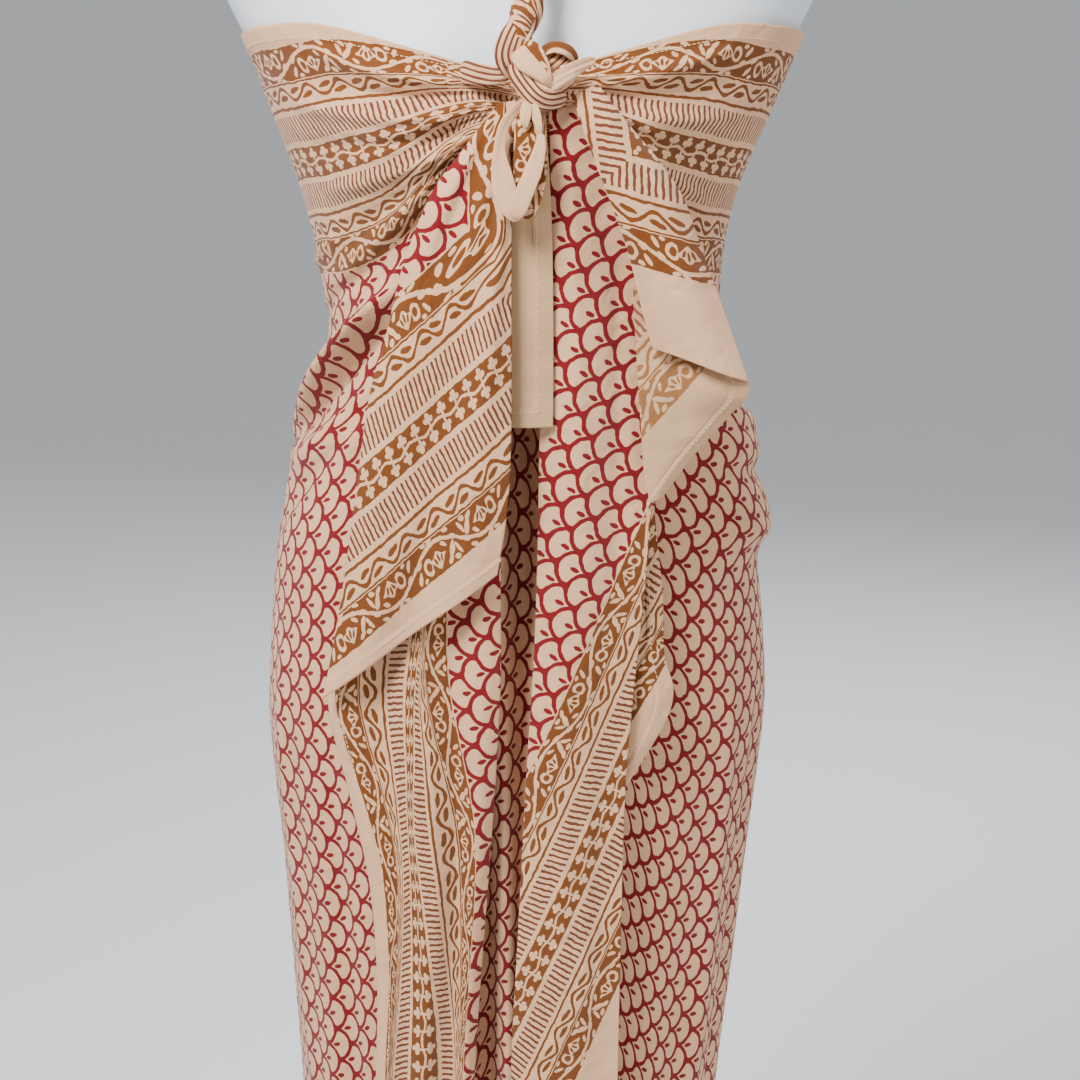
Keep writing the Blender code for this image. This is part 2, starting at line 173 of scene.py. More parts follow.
# Falls of cloth in front of the wrap. A row gives the left and right ends of a level across
# the cloth, how far it stands in front of the middle, and how far its middle bulges
FALLS = {
    "left_fall_upper": {
        "waves": 1.5, "wave": 3.0, "hem": "bottom", "cut": (0.140, 0.391, 0.0257),
        # left_x, left_z, right_x, right_z, left_front, right_front, bulge
        "rows": (
            (-13, 1236, 3.4, 1238.3, 150, 149.5, 0), (-34, 1209, -5, 1209, 154, 163, 2),
            (-53, 1183, -5, 1175, 157, 166, 3), (-70, 1141, -5, 1132, 158, 168, 4),
            (-81, 1098, -5, 1095, 158, 169, 5), (-92, 1059, -5, 1059, 158, 169, 5),
            (-104, 980, -6, 1015, 157, 170, 4), (-112, 930, -9, 982, 156, 169, 3),
            (-124, 868, -14, 952, 155, 167, 2),
        ),
        # start, bend and end as x and z, width, depth
        "creases": (
            (-8, 1226, -30, 1160, -62, 1040, 5, 2.2), (-6, 1222, -22, 1150, -46, 1000, 4, -2.0),
            (-4, 1220, -14, 1130, -28, 1000, 5, 2.0), (-14, 1228, -44, 1170, -84, 1050, 4, -1.6),
            (-60, 1010, -74, 960, -92, 900, 8, 2.0),
        ),
    },
    "left_fall_lower": {
        "waves": 2.5, "wave": 4.0, "hem": "left", "cut": (0.120, 0.995, 0.0764),
        "rows": (
            (-11, 1235, 3.1, 1237.3, 143, 144.5, 0), (-40, 1180, -8, 1180, 146, 152, 1),
            (-66, 1100, -9, 1100, 144, 153, 2), (-88, 1000, -11, 1000, 142, 152, 2),
            (-110, 925, -12, 950, 141, 152, 3), (-122, 866, -12, 880, 142, 152, 4),
            (-109, 800, -15, 820, 145, 150, 6), (-97, 740, -19, 760, 148, 147, 7),
            (-93, 670, -25, 680, 149, 144, 8), (-95, 600, -30, 604, 149, 142, 8),
            (-98, 480, -36, 490, 148, 141, 8), (-100, 360, -42, 390, 147, 140, 7),
            (-96, 262, -48, 305, 146, 140, 6),
        ),
        "creases": (
            (-100, 850, -84, 720, -82, 560, 4, -2.2), (-84, 860, -70, 720, -70, 520, 5, 2.2),
            (-66, 880, -54, 730, -56, 500, 4, -2.2), (-44, 900, -38, 760, -44, 480, 4, -2.0),
        ),
    },
    "centre_panel": {
        "waves": 1.0, "wave": 2.5, "hem": "", "cut": (0.074, 0.957, 0.0641),
        "rows": (
            (17, 1231, 37, 1236.5, 149, 149, 0), (18, 1195, 55, 1195, 152, 146, 2),
            (16, 1150, 71, 1150, 152, 143, 4), (14, 1110, 80, 1110, 151, 142, 6),
            (12, 1040, 82, 1040, 150, 142, 7), (11, 970, 81, 970, 149, 143, 7),
            (9, 900, 75, 900, 148, 144, 7), (4, 813, 68, 813, 146, 145, 7),
            (-1, 710, 66, 710, 143, 144, 7), (-6, 604, 65, 604, 141, 142, 7),
            (-8, 450, 64, 450, 140, 141, 6), (-6, 300, 60, 288, 140, 141, 6),
        ),
        "creases": (
            (30, 1210, 34, 1100, 40, 960, 5, 1.6), (58, 1140, 62, 1040, 58, 900, 6, -1.8),
            (24, 860, 20, 720, 14, 560, 6, -1.8), (44, 840, 42, 680, 38, 480, 7, 2.0),
        ),
    },
    "right_fall_upper": {
        "waves": 1.0, "wave": -3.5, "hem": "", "cut": (0.066, 0.202, 0.0076),
        "rows": (
            (31, 1241, 46, 1247, 152, 148, 1), (37, 1222, 66, 1222, 161, 150, 3),
            (47, 1196, 84, 1201, 165, 149, 5), (58, 1168, 98, 1180, 167, 148, 6),
            (66, 1144, 110, 1148, 167, 148, 6), (75, 1108, 122, 1117, 167, 151, 5),
            (80, 1092, 139, 1070, 166, 156, 3),
        ),
        "creases": (
            (50, 1228, 66, 1190, 86, 1140, 4, 2.0), (56, 1226, 76, 1196, 98, 1150, 4, -2.0),
        ),
    },
    "right_fall_turned": {
        "waves": 0.5, "wave": 1.5, "hem": "right", "cut": (0.068, 0.168, 0.0062),
        "rows": (
            (68, 1128, 96, 1131, 151, 140, 0), (70, 1095, 120, 1098, 153, 148, 1),
            (72, 1066, 139.3, 1066.6, 155, 154.35, 2), (74, 1040, 128, 1048, 154, 149, 2),
            (76, 1015, 106, 1022, 153, 148, 1), (80, 994, 88, 997, 152, 149, 0),
        ),
        "creases": (
            (88, 1088, 98, 1064, 102, 1036, 5, -1.6),
        ),
    },
    "right_fall_lower": {
        "waves": 0.5, "wave": 1.0, "hem": "right", "cut": (0.033, 0.280, 0.0052),
        "rows": (
            (69, 1075, 76, 1076, 142.6, 139.8, 0), (70, 1030, 82, 1030, 140, 136, 0),
            (70, 985, 84, 985, 138, 132, 1), (68, 930, 90, 930, 137, 131, 1),
            (67, 890, 92, 890, 137, 131, 2), (66, 862, 98, 866, 137, 132, 2),
            (66, 838, 92, 843, 137, 133, 1), (65, 802, 70, 805, 136, 135, 0),
        ),
        "creases": (
            (74, 1020, 76, 950, 80, 880, 3, -1.4),
        ),
    },
    "hanging_end": {
        "waves": 0.5, "wave": 0.6, "hem": "bottom right", "cut": (0.027, 0.195, 0.0048),
        "rows": (
            (4, 1235, 15, 1231.8, 149, 149, 0), (-5, 1200, 17, 1200, 156, 157, 1),
            (-7, 1160, 19, 1160, 158, 157, 1), (-7, 1100, 20, 1100, 158, 156, 1),
            (-7, 1042, 20, 1042, 157, 156, 1),
        ),
        "creases": (
            (2, 1216, 4, 1170, 6, 1110, 3, -1.0),
        ),
    },
}

# Where the print lies on each fall: a place where it is p_at from the print's edge, the way in
# which that distance grows, and how much cloth a millimetre of the fall takes up. q is the
# same along the edge, and the scales of the field are turned to their own side
PRINTS = {
    # x, z, p_at, p_turn, p_share, q_at, q_turn, q_share, scales_turn, scales_share
    "left_fall_upper": (-14, 952, -23, 132, 0.97, 181, 201, 1.26, 145, 0.96),
    "left_fall_lower": (-81, 740, 4, 4, 1.75, 500, 94, 1.0, 12, 0.96),
    "centre_panel": (69, 964, 139, 157, 1.25, 500, 67, 1.0, -24, 0.96),
    "right_fall_upper": (66, 1144, 0, 74, 1.0, 52, 7, 1.0, 0, 1.0),
    "right_fall_turned": (110, 1078, 0, 140, 1.0, 500, 50, 1.0, 0, 1.0),
    "right_fall_lower": (84, 870, 0, 150, 1.4, 500, 60, 1.0, 0, 1.0),
    "hanging_end": (0, 1100, -500, 0, 0.0, 500, 90, 1.0, 0, 1.0),
}

# The left fall's border is pleated, so the edges of its bands lie at shares of its breadth
PLEATED_PRINT = (
    # level, margin, flowers, braid, bars, vine, bars_2, braid_2, flowers_2
    (0, 0.063, 0.195, 0.32, 0.437, 0.49, 0.53, 0.60, 0.735),
    (5.4, 0.063, 0.195, 0.32, 0.437, 0.49, 0.53, 0.60, 0.735),
    (6.6, 0.123, 0.24, 0.29, 0.355, 0.40, 0.53, 0.72, 0.86),
    (9, 0.10, 0.13, 0.16, 0.34, 0.66, 0.80, 0.84, 0.88),
    (12, 0.10, 0.13, 0.16, 0.36, 0.70, 0.84, 0.88, 0.92),
)
BAND_EDGES = (0, 21, 37, 59, 81, 101, 118, 140)

# Strands of the knot and its loop, each along a route. The half width lies across the strand and
# the half depth through it, and lean turns it about its own route
STRANDS = {
    "knot_cloth": {
        "wedge": (
            # x, y, z, half_width, half_depth, lean
            (0, -154, 1269, 7.0, 2.4, 0), (4, -160, 1264, 9.4, 3.0, 6),
            (9.6, -163.5, 1258, 8.0, 3.2, 10), (14.6, -165, 1251.6, 4.6, 3.0, 10),
            (18.5, -163, 1246, 1.4, 1.6, 10),
        ),
        "band": (
            (-5, -152, 1261, 3.0, 3.0, 0), (-2.6, -158, 1253.5, 4.6, 3.4, 0),
            (4.2, -161, 1246, 6.8, 4.0, -8), (11, -162.5, 1240.6, 7.6, 4.2, -14),
            (18, -160, 1238.6, 6.4, 4.0, -16), (27, -152, 1240, 5.0, 3.4, -10),
        ),
        "little_loop": (
            (11, -150, 1256, 2.0, 2.2, 0), (13.4, -154, 1264.4, 3.6, 1.5, 30),
            (20, -157, 1268.2, 4.2, 1.4, 40), (28, -156, 1266.4, 4.2, 1.4, 40),
            (33.4, -151, 1260, 2.4, 1.4, 20),
        ),
        "right_strand": (
            (14, -158, 1245, 4.4, 3.6, 0), (20, -162, 1249.4, 5.6, 4.0, 4),
            (27, -160, 1253.6, 5.2, 3.6, 8), (35, -153, 1257.4, 4.0, 3.0, 10),
            (44, -144, 1261, 2.4, 2.4, 10),
        ),
        "rope_foot": (
            (9, -148, 1249, 6.0, 3.0, 0), (1, -151, 1255, 8.6, 3.6, -4),
            (-4.6, -154, 1263, 10.6, 4.2, -8), (-3, -153, 1272, 9.8, 5.4, -4),
            (1, -147, 1281, 7.6, 6.2, 0), (4, -141, 1289, 6.4, 6.4, 0),
        ),
        "left_gather": (
            (-36, -127, 1254, 7.0, 2.0, 0), (-24, -137, 1252, 6.4, 2.6, 0),
            (-13, -147, 1252, 5.2, 3.2, 0), (-3, -154, 1255, 3.4, 2.8, 0),
        ),
        "under_wad": (
            (30, -146, 1262, 6, 6, 0), (24, -150, 1256, 11, 9, 0), (15, -151, 1249, 13, 10, 0),
            (6, -150, 1244, 9, 8, 0), (-2, -148, 1242, 4, 5, 0),
        ),
    },
    "knot_loop_cloth": {
        "left_limb": (
            (9, -158, 1239, 3.0, 1.6, 10), (-1, -163, 1234, 3.2, 1.5, 20),
            (-9, -167, 1224, 3.4, 1.4, 24), (-12, -171, 1210, 3.8, 1.2, 20),
            (-10.6, -174, 1195, 6.4, 1.2, 10), (-8, -176, 1183, 7.0, 1.3, 0),
            (-4.6, -177.5, 1174, 4.6, 1.6, -10), (0, -177, 1170, 3.0, 1.6, -20),
        ),
        "plain_limb": (
            (-2.4, -178, 1170.6, 3.4, 1.6, 0), (-1.0, -179, 1177, 5.4, 1.5, 0),
            (3.0, -178.4, 1187, 5.4, 1.4, 0), (8.0, -176, 1199, 5.0, 1.3, 0),
            (11.6, -172, 1211, 3.6, 1.2, 0), (12.4, -167, 1219.6, 2.0, 1.2, 0),
        ),
        "printed_edge": (
            (3, -174, 1170, 2.2, 1.4, 0), (7, -174, 1178, 4.0, 1.3, 0),
            (11, -172.6, 1190, 3.6, 1.2, 0), (13.4, -170, 1202, 2.6, 1.2, 0),
            (14, -166, 1214, 1.8, 1.2, 0),
        ),
        "printed_back": (
            (6, -161, 1235, 4.0, 1.4, 0), (6, -164, 1224, 8.6, 1.2, 0),
            (5.4, -166, 1212, 9.0, 1.2, 0), (3, -169, 1198, 7.0, 1.2, 0),
            (0.4, -172, 1186, 3.4, 1.2, 0),
        ),
        "left_petal": (
            (4, -162, 1238, 2.0, 1.8, 0), (3.4, -166, 1232, 3.4, 1.8, 0),
            (3.0, -168, 1226, 2.6, 1.2, 0), (3.6, -168, 1222.6, 0.8, 0.8, 0),
        ),
        "right_petal": (
            (7, -162, 1238, 1.8, 1.8, 0), (9, -165, 1231, 3.0, 1.6, 0),
            (11, -167, 1224, 2.2, 1.2, 0), (12, -167, 1219, 0.8, 0.8, 0),
        ),
    },
}

# Where each strand lies in the print: its distance from the print's edge at its middle, and
# where it starts along the edge
STRAND_PRINTS = {
    # p_middle, q_start, pleats, stripes run along it
    "wedge": (-4, 322, 0.6, False),
    "band": (40, 411, 0.7, True),
    "little_loop": (57, 500, 0.3, True),
    "right_strand": (-6, 610, 0.6, False),
    "rope_foot": (41, 700, 0.8, True),
    "left_gather": (42, 820, 0.5, True),
    "under_wad": (46, 905, 0.5, True),
    "left_limb": (-40, 300, 0.12, False),
    "plain_limb": (-40, 420, 0.12, False),
    "printed_edge": (11, 536, 0.2, False),
    "printed_back": (10, 633, 0.3, False),
    "left_petal": (-40, 700, 0.15, False),
    "right_petal": (-40, 760, 0.15, False),
}

# Route of the halter from the knot to the throat
HALTER = (
    # step, x, y, z
    (0, -6, -150, 1266),
    (1, 4, -140.5, 1289),
    (2, 8.6, -122, 1320),
    (3, 6, -92.5, 1378),
    (4, 2, -69.0, 1424),
    (5, 0, -60.0, 1454.1),
)


def linear(tint):
    """Linear colour of an sRGB hex value."""
    parts = [int(tint[i:i + 2], 16) / 255 for i in (0, 2, 4)]
    return (*[p / 12.92 if p <= 0.04045 else ((p + 0.055) / 1.055) ** 2.4 for p in parts], 1)


def between(x, table, column, key=0):
    """Smooth value of a table's column at x, with no overshoot kink at its rows."""
    keys = np.array([row[key] for row in table], float)
    values = np.array([row[column] for row in table], float)
    x = np.clip(np.asarray(x, float), keys[0], keys[-1])
    slope = np.gradient(values, keys)
    i = np.clip(np.searchsorted(keys, x) - 1, 0, len(keys) - 2)
    step = keys[i + 1] - keys[i]
    f = (x - keys[i]) / step
    rise = f * f * (3 - 2 * f)
    return (
        values[i] * (1 - rise) + values[i + 1] * rise
        + step * (slope[i] * f * (1 - f) ** 2 - slope[i + 1] * f * f * (1 - f))
    )


def bell(x, middle, width):
    """1 at the middle, falling off to both sides."""
    return np.exp(-((x - middle) / width) ** 2)


def step_up(x, low, high):
    """0 at low, rising smoothly to 1 at high. Low may be the greater of the two."""
    f = np.clip((x - low) / (high - low), 0, 1)
    return f * f * (3 - 2 * f)


def creases(across, up, rows):
    """How far soft ridges and troughs lift a surface, each along a bent line of its own."""
    lift = np.zeros(np.broadcast(across, up).shape)
    for start_x, start_z, bend_x, bend_z, end_x, end_z, width, depth in rows:
        t = np.linspace(0, 1, 15)
        line_x = start_x * (1 - t) ** 2 + 2 * bend_x * t * (1 - t) + end_x * t * t
        line_z = start_z * (1 - t) ** 2 + 2 * bend_z * t * (1 - t) + end_z * t * t
        near = np.full(lift.shape, 1e9)
        place = np.zeros(lift.shape)
        for i in range(len(t) - 1):
            run_x, run_z = line_x[i + 1] - line_x[i], line_z[i + 1] - line_z[i]
            f = (across - line_x[i]) * run_x + (up - line_z[i]) * run_z
            f = np.clip(f / (run_x ** 2 + run_z ** 2), 0, 1)
            away = np.hypot(across - line_x[i] - f * run_x, up - line_z[i] - f * run_z)
            place = np.where(away < near, (i + f) / (len(t) - 1), place)
            near = np.minimum(near, away)
        spread = width * (0.7 + 0.6 * place)
        lift += depth * np.exp(-(near / spread) ** 2) * np.sin(math.pi * place) ** 0.5
    return lift


def round_section(angle, left, right, front, back, fullness):
    """Point on a body section: angle 0 is the middle of the front, positive toward +X."""
    side, ahead = np.sin(angle), np.cos(angle)
    power = 2 / fullness
    x = np.where(side > 0, right, left) * np.sign(side) * np.abs(side) ** power
    y = -np.where(ahead > 0, front, back) * np.sign(ahead) * np.abs(ahead) ** power
    return x, y


def form_point(angle, z, clear=0, fullness=FULLNESS):
    """Point on the dress form's section at a height, or some millimetres clear of it."""
    half, front, back = (between(z, FORM_SECTIONS, column) + clear for column in (1, 2, 3))
    return round_section(angle, half, half, front, back, fullness)


def full_turn(sides):
    """Angles all round, with the first one again at the end."""
    return np.linspace(0, 2 * math.pi, sides + 1)


def bust(x, z, bridged):
    """Fullness of the bust in front of a section. Cloth (bridged) spans the hollow between."""
    off = np.abs(x) - 72
    if bridged:
        off = np.maximum(off, 0)
    return 13 * bell(off, 0, 44) * bell(z, 1208, 46)


def wrap_folds(angle, down, x, z):
    """How far the main folds stand out of the section."""
    turn = np.degrees(angle)
    # gathers and fine pleats fan out from the knot
    gather = bell(np.abs(turn), 18, 17) * step_up(200 - down, 0, 50) * step_up(down, 0, 16)
    folds = 5.0 * gather * (0.5 - 0.5 * np.cos(2 * math.pi * down / 50))
    pleats = bell(np.abs(turn), 17, 13) * step_up(230 - down, 0, 60) * step_up(down, 4, 20)
    spread = down / 10.5 + 0.35 * np.sin(turn / 6) + 0.3 * np.sin(down / 17)
    folds = folds + 0.9 * pleats * np.cos(2 * math.pi * spread)
    # a thick roll crosses the left of the waist with a lesser one below it
    left = step_up(-turn, 22, 48) * step_up(-turn, 135, 95)
    folds = folds + left * 14.5 * bell(z, 1168 + 1.58 * turn, 10)
    folds = folds + left * 6 * bell(z, 1050 + 0.60 * turn, 14)
    # two short rolls lie over the right hip
    right = step_up(turn, 40, 70) * step_up(turn, 140, 100)
    folds = folds + right * (5 * bell(z, 1010, 18) + 6 * bell(z, 955, 17))
    # upright pleats stand deep between the falls
    deep = step_up(1150 - z, 0, 130) * step_up(46 - np.abs(x - 2), 0, 14) * (np.cos(angle) > 0)
    lean = (x - 2 + 0.02 * (z - 900)) / 30
    folds = folds + deep * (18 * (0.5 - 0.5 * np.cos(2 * math.pi * lean)) - 5)
    # the rest of the skirt hangs in long ripples
    loose = step_up(1000 - z, 0, 800) * step_up(np.abs(x) + 60 * (np.cos(angle) < 0), 48, 75)
    ripple = 0.5 + 0.3 * np.sin(13 * angle + 0.8) + 0.2 * np.sin(7 * angle + 2.1)
    return folds + 9 * loose * ripple


def wrap_point(angle, down):
    """Outer face of the wrap, where down is the distance in the cloth from the top hem."""
    turn = np.degrees(np.abs(angle))
    top = between(turn, HEM_LINE, 1)
    z = top - down + bell(turn, 0, 23) * 0.75 * np.minimum(down, 200)
    x, y = round_section(
        angle,
        *[between(z, WRAP_SECTIONS, column) for column in (1, 2, 3, 4)],
        FULLNESS,
    )
    y = y - np.where(np.cos(angle) > 0, bust(x, z, True), 0)
    out = wrap_folds(angle, down, x, z) - 1.0
    out = out + creases(np.degrees(angle) * 2.4, z, [
        (a * 2.4, b, c * 2.4, d, e * 2.4, f, 0.8 * width, 1.35 * depth)
        for a, b, c, d, e, f, width, depth in WRAP_CREASES
    ])
    return x + out * np.sin(angle), y - out * np.cos(angle), z


def row_lengths(grid):
    """Distance along each row of a grid of points from its first column."""
    steps = np.linalg.norm(np.diff(grid, axis=1), axis=2)
    return np.concatenate([np.zeros((len(grid), 1)), np.cumsum(steps, axis=1)], axis=1)


def unit(vectors):
    """The same directions, each 1 long."""
    return vectors / np.maximum(np.linalg.norm(vectors, axis=-1, keepdims=True), 1e-9)


def grid_normals(grid):
    """Unit vectors that stand out of a grid of points."""
    return unit(np.cross(np.gradient(grid, axis=0), np.gradient(grid, axis=1)))


def tube(route, wide, deep, width, depth):
    """Rings of points round a route, at distances along two ways across it."""
    return (
        route[:, None, :] + width[..., None] * wide[:, None, :]
        + depth[..., None] * deep[:, None, :]
    )


def grid_faces(rows, columns, first=0, flip=False):
    """Quads of a grid of rows x columns points that starts at a point's number."""
    at = first + np.arange(rows * columns).reshape(rows, columns)
    a, b, c, d = at[:-1, :-1], at[1:, :-1], at[1:, 1:], at[:-1, 1:]
    order = (a, d, c, b) if flip else (a, b, c, d)
    return np.stack(order, axis=-1).reshape(-1, 4).tolist()


def make_piece(name, points, faces, material, maps=None, flat=0):
    """Smooth mesh object from points in millimetres, with maps of flat places at its points.

    Its last faces, as many as flat says, are shaded flat, and points in one place are joined.
    """
    mesh = bpy.data.meshes.new(name)
    mesh.from_pydata((np.asarray(points) * MM).tolist(), [], faces)
    for layer, places in (maps or {}).items():
        corners = np.empty(len(mesh.loops), dtype=np.int32)
        mesh.loops.foreach_get("vertex_index", corners)
        uv = mesh.uv_layers.new(name=layer)
        uv.data.foreach_set("uv", (np.asarray(places)[corners] * MM).astype(np.float32).ravel())
    mesh.shade_smooth()
    for face in mesh.polygons[len(faces) - flat:]:
        face.use_smooth = False
    mesh.materials.append(material)
    joined = bmesh.new()
    joined.from_mesh(mesh)
    bmesh.ops.remove_doubles(joined, verts=joined.verts, dist=1e-6)
    joined.to_mesh(mesh)
    joined.free()
    piece = bpy.data.objects.new(name, mesh)
    bpy.context.collection.objects.link(piece)
    return piece


def make_turned(name, profile, material, sides=96):
    """Piece turned round the upright axis from rows of radius and height, its foot first."""
    radius, height = np.array(profile, float).T[:, ::-1, None]
    turn = full_turn(sides)[None, :]
    rings = np.stack([
        radius * np.sin(turn), -radius * np.cos(turn), height + 0 * turn,
    ], axis=-1)
    faces = grid_faces(len(profile), sides + 1)
    return make_piece(name, rings.reshape(-1, 3), faces, material)


def add(tree, kind, links=(), **settings):
    """New node with its settings, and its inputs linked to sockets or set to values."""
    node = tree.nodes.new(kind)
    for name, value in settings.items():
        setattr(node, name, value)
    for place, source in dict(links).items():
        if isinstance(source, bpy.types.NodeSocket):
            tree.links.new(source, node.inputs[place])
        else:
            node.inputs[place].default_value = source
    return node


# Bands of the print whose motifs are drawn in cells along it. Every other cell is turned over,
# or turned half round where it spins
CELLS = (
    # name, pitch, middle, from, spins
    ("vine", VINE_PITCH, 0, "off_middle", False),
    ("braid", BRAID_PITCH, 41.6, "m", True),
    ("flower", FLOWER_PITCH, 59.5, "m", True),
)

# Motifs as ovals in their cell: cream in the vine and flower bands, brown in the braid
OVALS = {
    # band, group, mirrored: rows of x, y, half_length, half_width, tilt
    ("vine", "bud", True): (
        (0, 6.7, 2.0, 1.9, 0), (2.4, 4.5, 1.9, 1.5, 32), (0, 2.6, 0.85, 3.4, 0),
    ),
    ("braid", "leaf", False): (
        (-1.4, -2.0, 5.2, 1.7, 13),
    ),
    ("flower", "petal", False): (
        (9.8, -7.2, 3.0, 1.5, 28), (13.2, -2.4, 4.6, 1.9, 52), (15.8, -8.0, 2.4, 1.5, -20),
        (18.6, -4.4, 4.2, 1.3, -62), (-19.4, -5.6, 3.6, 1.4, 58), (-15.4, -8.4, 2.0, 1.2, 10),
        (7.6, 2.8, 2.8, 1.2, -38), (-2.6, 9.6, 3.0, 1.2, 24), (17.4, 3.2, 3.0, 1.3, -34),
        (-16.6, 1.2, 2.8, 1.3, 30), (-8.6, 9.2, 2.6, 1.1, -12), (12.4, 9.0, 3.0, 1.2, -20),
    ),
    ("flower", "curl", False): (
        (-9.6, -3.0, 3.7, 4.4, 12),
    ),
    ("flower", "seed", True): (
        (0, -2.0, 1.0, 2.5, 0), (2.9, -3.0, 0.9, 2.3, -28),
    ),
}

# Steps that draw the print. m is the distance from the middle of the border, and the results
# named brown, bars and crimson are 1 where that ink lies
PRINT_STEPS = (
    # name, operation, inputs
    ("across", "MINIMUM", "p", "q"),
    ("along", "MAXIMUM", "p", "q"),
    ("off_middle", "SUBTRACT", "across", BORDER_MIDDLE),
    ("m", "ABSOLUTE", "off_middle"),
)

BAND_STEPS = (
    # name, operation, inputs
    ("stem_turn", "MULTIPLY", "vine_x", math.pi / VINE_PITCH),
    ("stem_wave", "SINE", "stem_turn"),
    ("stem_off", "MULTIPLY_ADD", "stem_wave", -1.5, "vine_y"),
    ("stem", "COMPARE", "stem_off", 0, 0.85),
    ("buds", "LESS_THAN", "vine_bud", 1),
    ("vine_cream", "MAXIMUM", "stem", "buds"),
    ("vine_band", "LESS_THAN", "m", 9.5),
    ("vine_ink", "GREATER_THAN", "vine_band", "vine_cream"),
    ("bar_lean", "MULTIPLY_ADD", "m", 0.12, "along"),
    ("bar_near", "PINGPONG", "bar_lean", 2.1),
    ("bar_on", "LESS_THAN", "bar_near", 0.9),
    ("bar_band", "COMPARE", "m", 21, 8),
    ("bars", "MULTIPLY", "bar_on", "bar_band"),
    ("line", "COMPARE", "m", 33, 1),
    ("arch_turn", "MULTIPLY", "braid_x", math.pi / BRAID_PITCH),
    ("arch_wave", "COSINE", "arch_turn"),
    ("arch_off", "MULTIPLY_ADD", "arch_wave", -3.9, "braid_y"),
    ("arch", "COMPARE", "arch_off", 0, 1.3),
    ("leaf", "LESS_THAN", "braid_leaf", 1),
    ("braid_ink", "MAXIMUM", "arch", "leaf"),
    ("braid_band", "COMPARE", "m", 41.5, 6.2),
    ("braid", "MULTIPLY", "braid_ink", "braid_band"),
    ("thin_line", "COMPARE", "m", 48.2, 0.6),
    ("branch_turn", "MULTIPLY", "flower_x", math.pi / FLOWER_PITCH),
    ("branch_wave", "COSINE", "branch_turn"),
    ("branch_off", "MULTIPLY_ADD", "branch_wave", -7.4, "flower_y"),
    ("branch", "COMPARE", "branch_off", 0, 1.15),
    ("curl_line", "COMPARE", "flower_curl", 0.86, 0.26),
    ("curl_side", "LESS_THAN", "flower_x", -6.6),
    ("curl", "MULTIPLY", "curl_line", "curl_side"),
    ("fan_y", "ADD", "flower_y", 8.2),
    ("fan_turn", "ARCTAN2", "flower_x", "fan_y"),
    ("fan_scallop", "MULTIPLY", "fan_turn", 7),
    ("fan_edge", "COSINE", "fan_scallop"),
    ("fan_xx", "MULTIPLY", "flower_x", "flower_x"),
    ("fan_rr", "MULTIPLY_ADD", "fan_y", "fan_y", "fan_xx"),
    ("fan_r", "SQRT", "fan_rr"),
    ("fan_over", "MULTIPLY_ADD", "fan_edge", -0.8, "fan_r"),
    ("fan_in", "LESS_THAN", "fan_over", 9.4),
    ("fan_wide", "COMPARE", "fan_turn", 0, 0.86),
    ("fan", "MULTIPLY", "fan_in", "fan_wide"),
    ("seeds", "LESS_THAN", "flower_seed", 1),
    ("fan_cream", "GREATER_THAN", "fan", "seeds"),
    ("petals", "LESS_THAN", "flower_petal", 1),
    ("twigs", "MAXIMUM", "petals", "curl"),
    ("petal_cream", "MAXIMUM", "branch", "twigs"),
    ("flower_cream", "MAXIMUM", "fan_cream", "petal_cream"),
    ("flower_band", "COMPARE", "m", 59.7, 10.3),
    ("flower_ink", "GREATER_THAN", "flower_band", "flower_cream"),
    ("brown_a", "MAXIMUM", "vine_ink", "line"),
    ("brown_b", "MAXIMUM", "braid", "thin_line"),
    ("brown_c", "MAXIMUM", "brown_b", "flower_ink"),
    ("brown", "MAXIMUM", "brown_a", "brown_c"),
)

# The field of scales, in scale radii: rows a radius apart, each moved by half a scale, with an
# eye in each
FIELD_STEPS = (
    # name, operation, inputs
    ("row", "FLOOR", "s"),
    ("f", "FRACT", "s"),
    ("odd", "PINGPONG", "row", 1),
    ("t_fold", "PINGPONG", "t", 1),
    ("near_off", "SUBTRACT", "t_fold", "odd"),
    ("near_y", "ABSOLUTE", "near_off"),
    ("next_y", "SUBTRACT", 1, "near_y"),
    ("next_x", "SUBTRACT", 1, "f"),
    ("far_x", "SUBTRACT", 2, "f"),
    ("next_yy", "MULTIPLY", "next_y", "next_y"),
    ("next_rr", "MULTIPLY_ADD", "next_x", "next_x", "next_yy"),
    ("next_r", "SQRT", "next_rr"),
    ("next_off", "SUBTRACT", "next_r", 1),
    ("next_line", "ABSOLUTE", "next_off"),
    ("far_yy", "MULTIPLY", "near_y", "near_y"),
    ("far_rr", "MULTIPLY_ADD", "far_x", "far_x", "far_yy"),
    ("far_r", "SQRT", "far_rr"),
    ("far_line", "SUBTRACT", "far_r", 1),
    ("outline", "SMOOTH_MIN", "next_line", "far_line", 0.42),
    ("outline_ink", "LESS_THAN", "outline", 0.118),
    ("late", "GREATER_THAN", "f", 0.5),
    ("eye_x", "SUBTRACT", "f", "late"),
    ("shift", "ADD", "odd", "late"),
    ("eye_t", "SUBTRACT", "t", "shift"),
    ("eye_y", "WRAP", "eye_t", 1, -1),
    ("eye_a", "MULTIPLY_ADD", "eye_y", 0.14, "eye_x"),
    ("eye_b", "MULTIPLY_ADD", "eye_x", -0.14, "eye_y"),
    ("eye_long", "DIVIDE", "eye_a", 0.27),
    ("eye_wide", "DIVIDE", "eye_b", 0.135),
    ("eye_wide2", "MULTIPLY", "eye_wide", "eye_wide"),
    ("eye_in", "MULTIPLY_ADD", "eye_long", "eye_long", "eye_wide2"),
    ("eye", "LESS_THAN", "eye_in", 1),
    ("scale_ink", "MAXIMUM", "outline_ink", "eye"),
    ("inner", "GREATER_THAN", "off_middle", 71),
    ("crimson", "MULTIPLY", "scale_ink", "inner"),
)


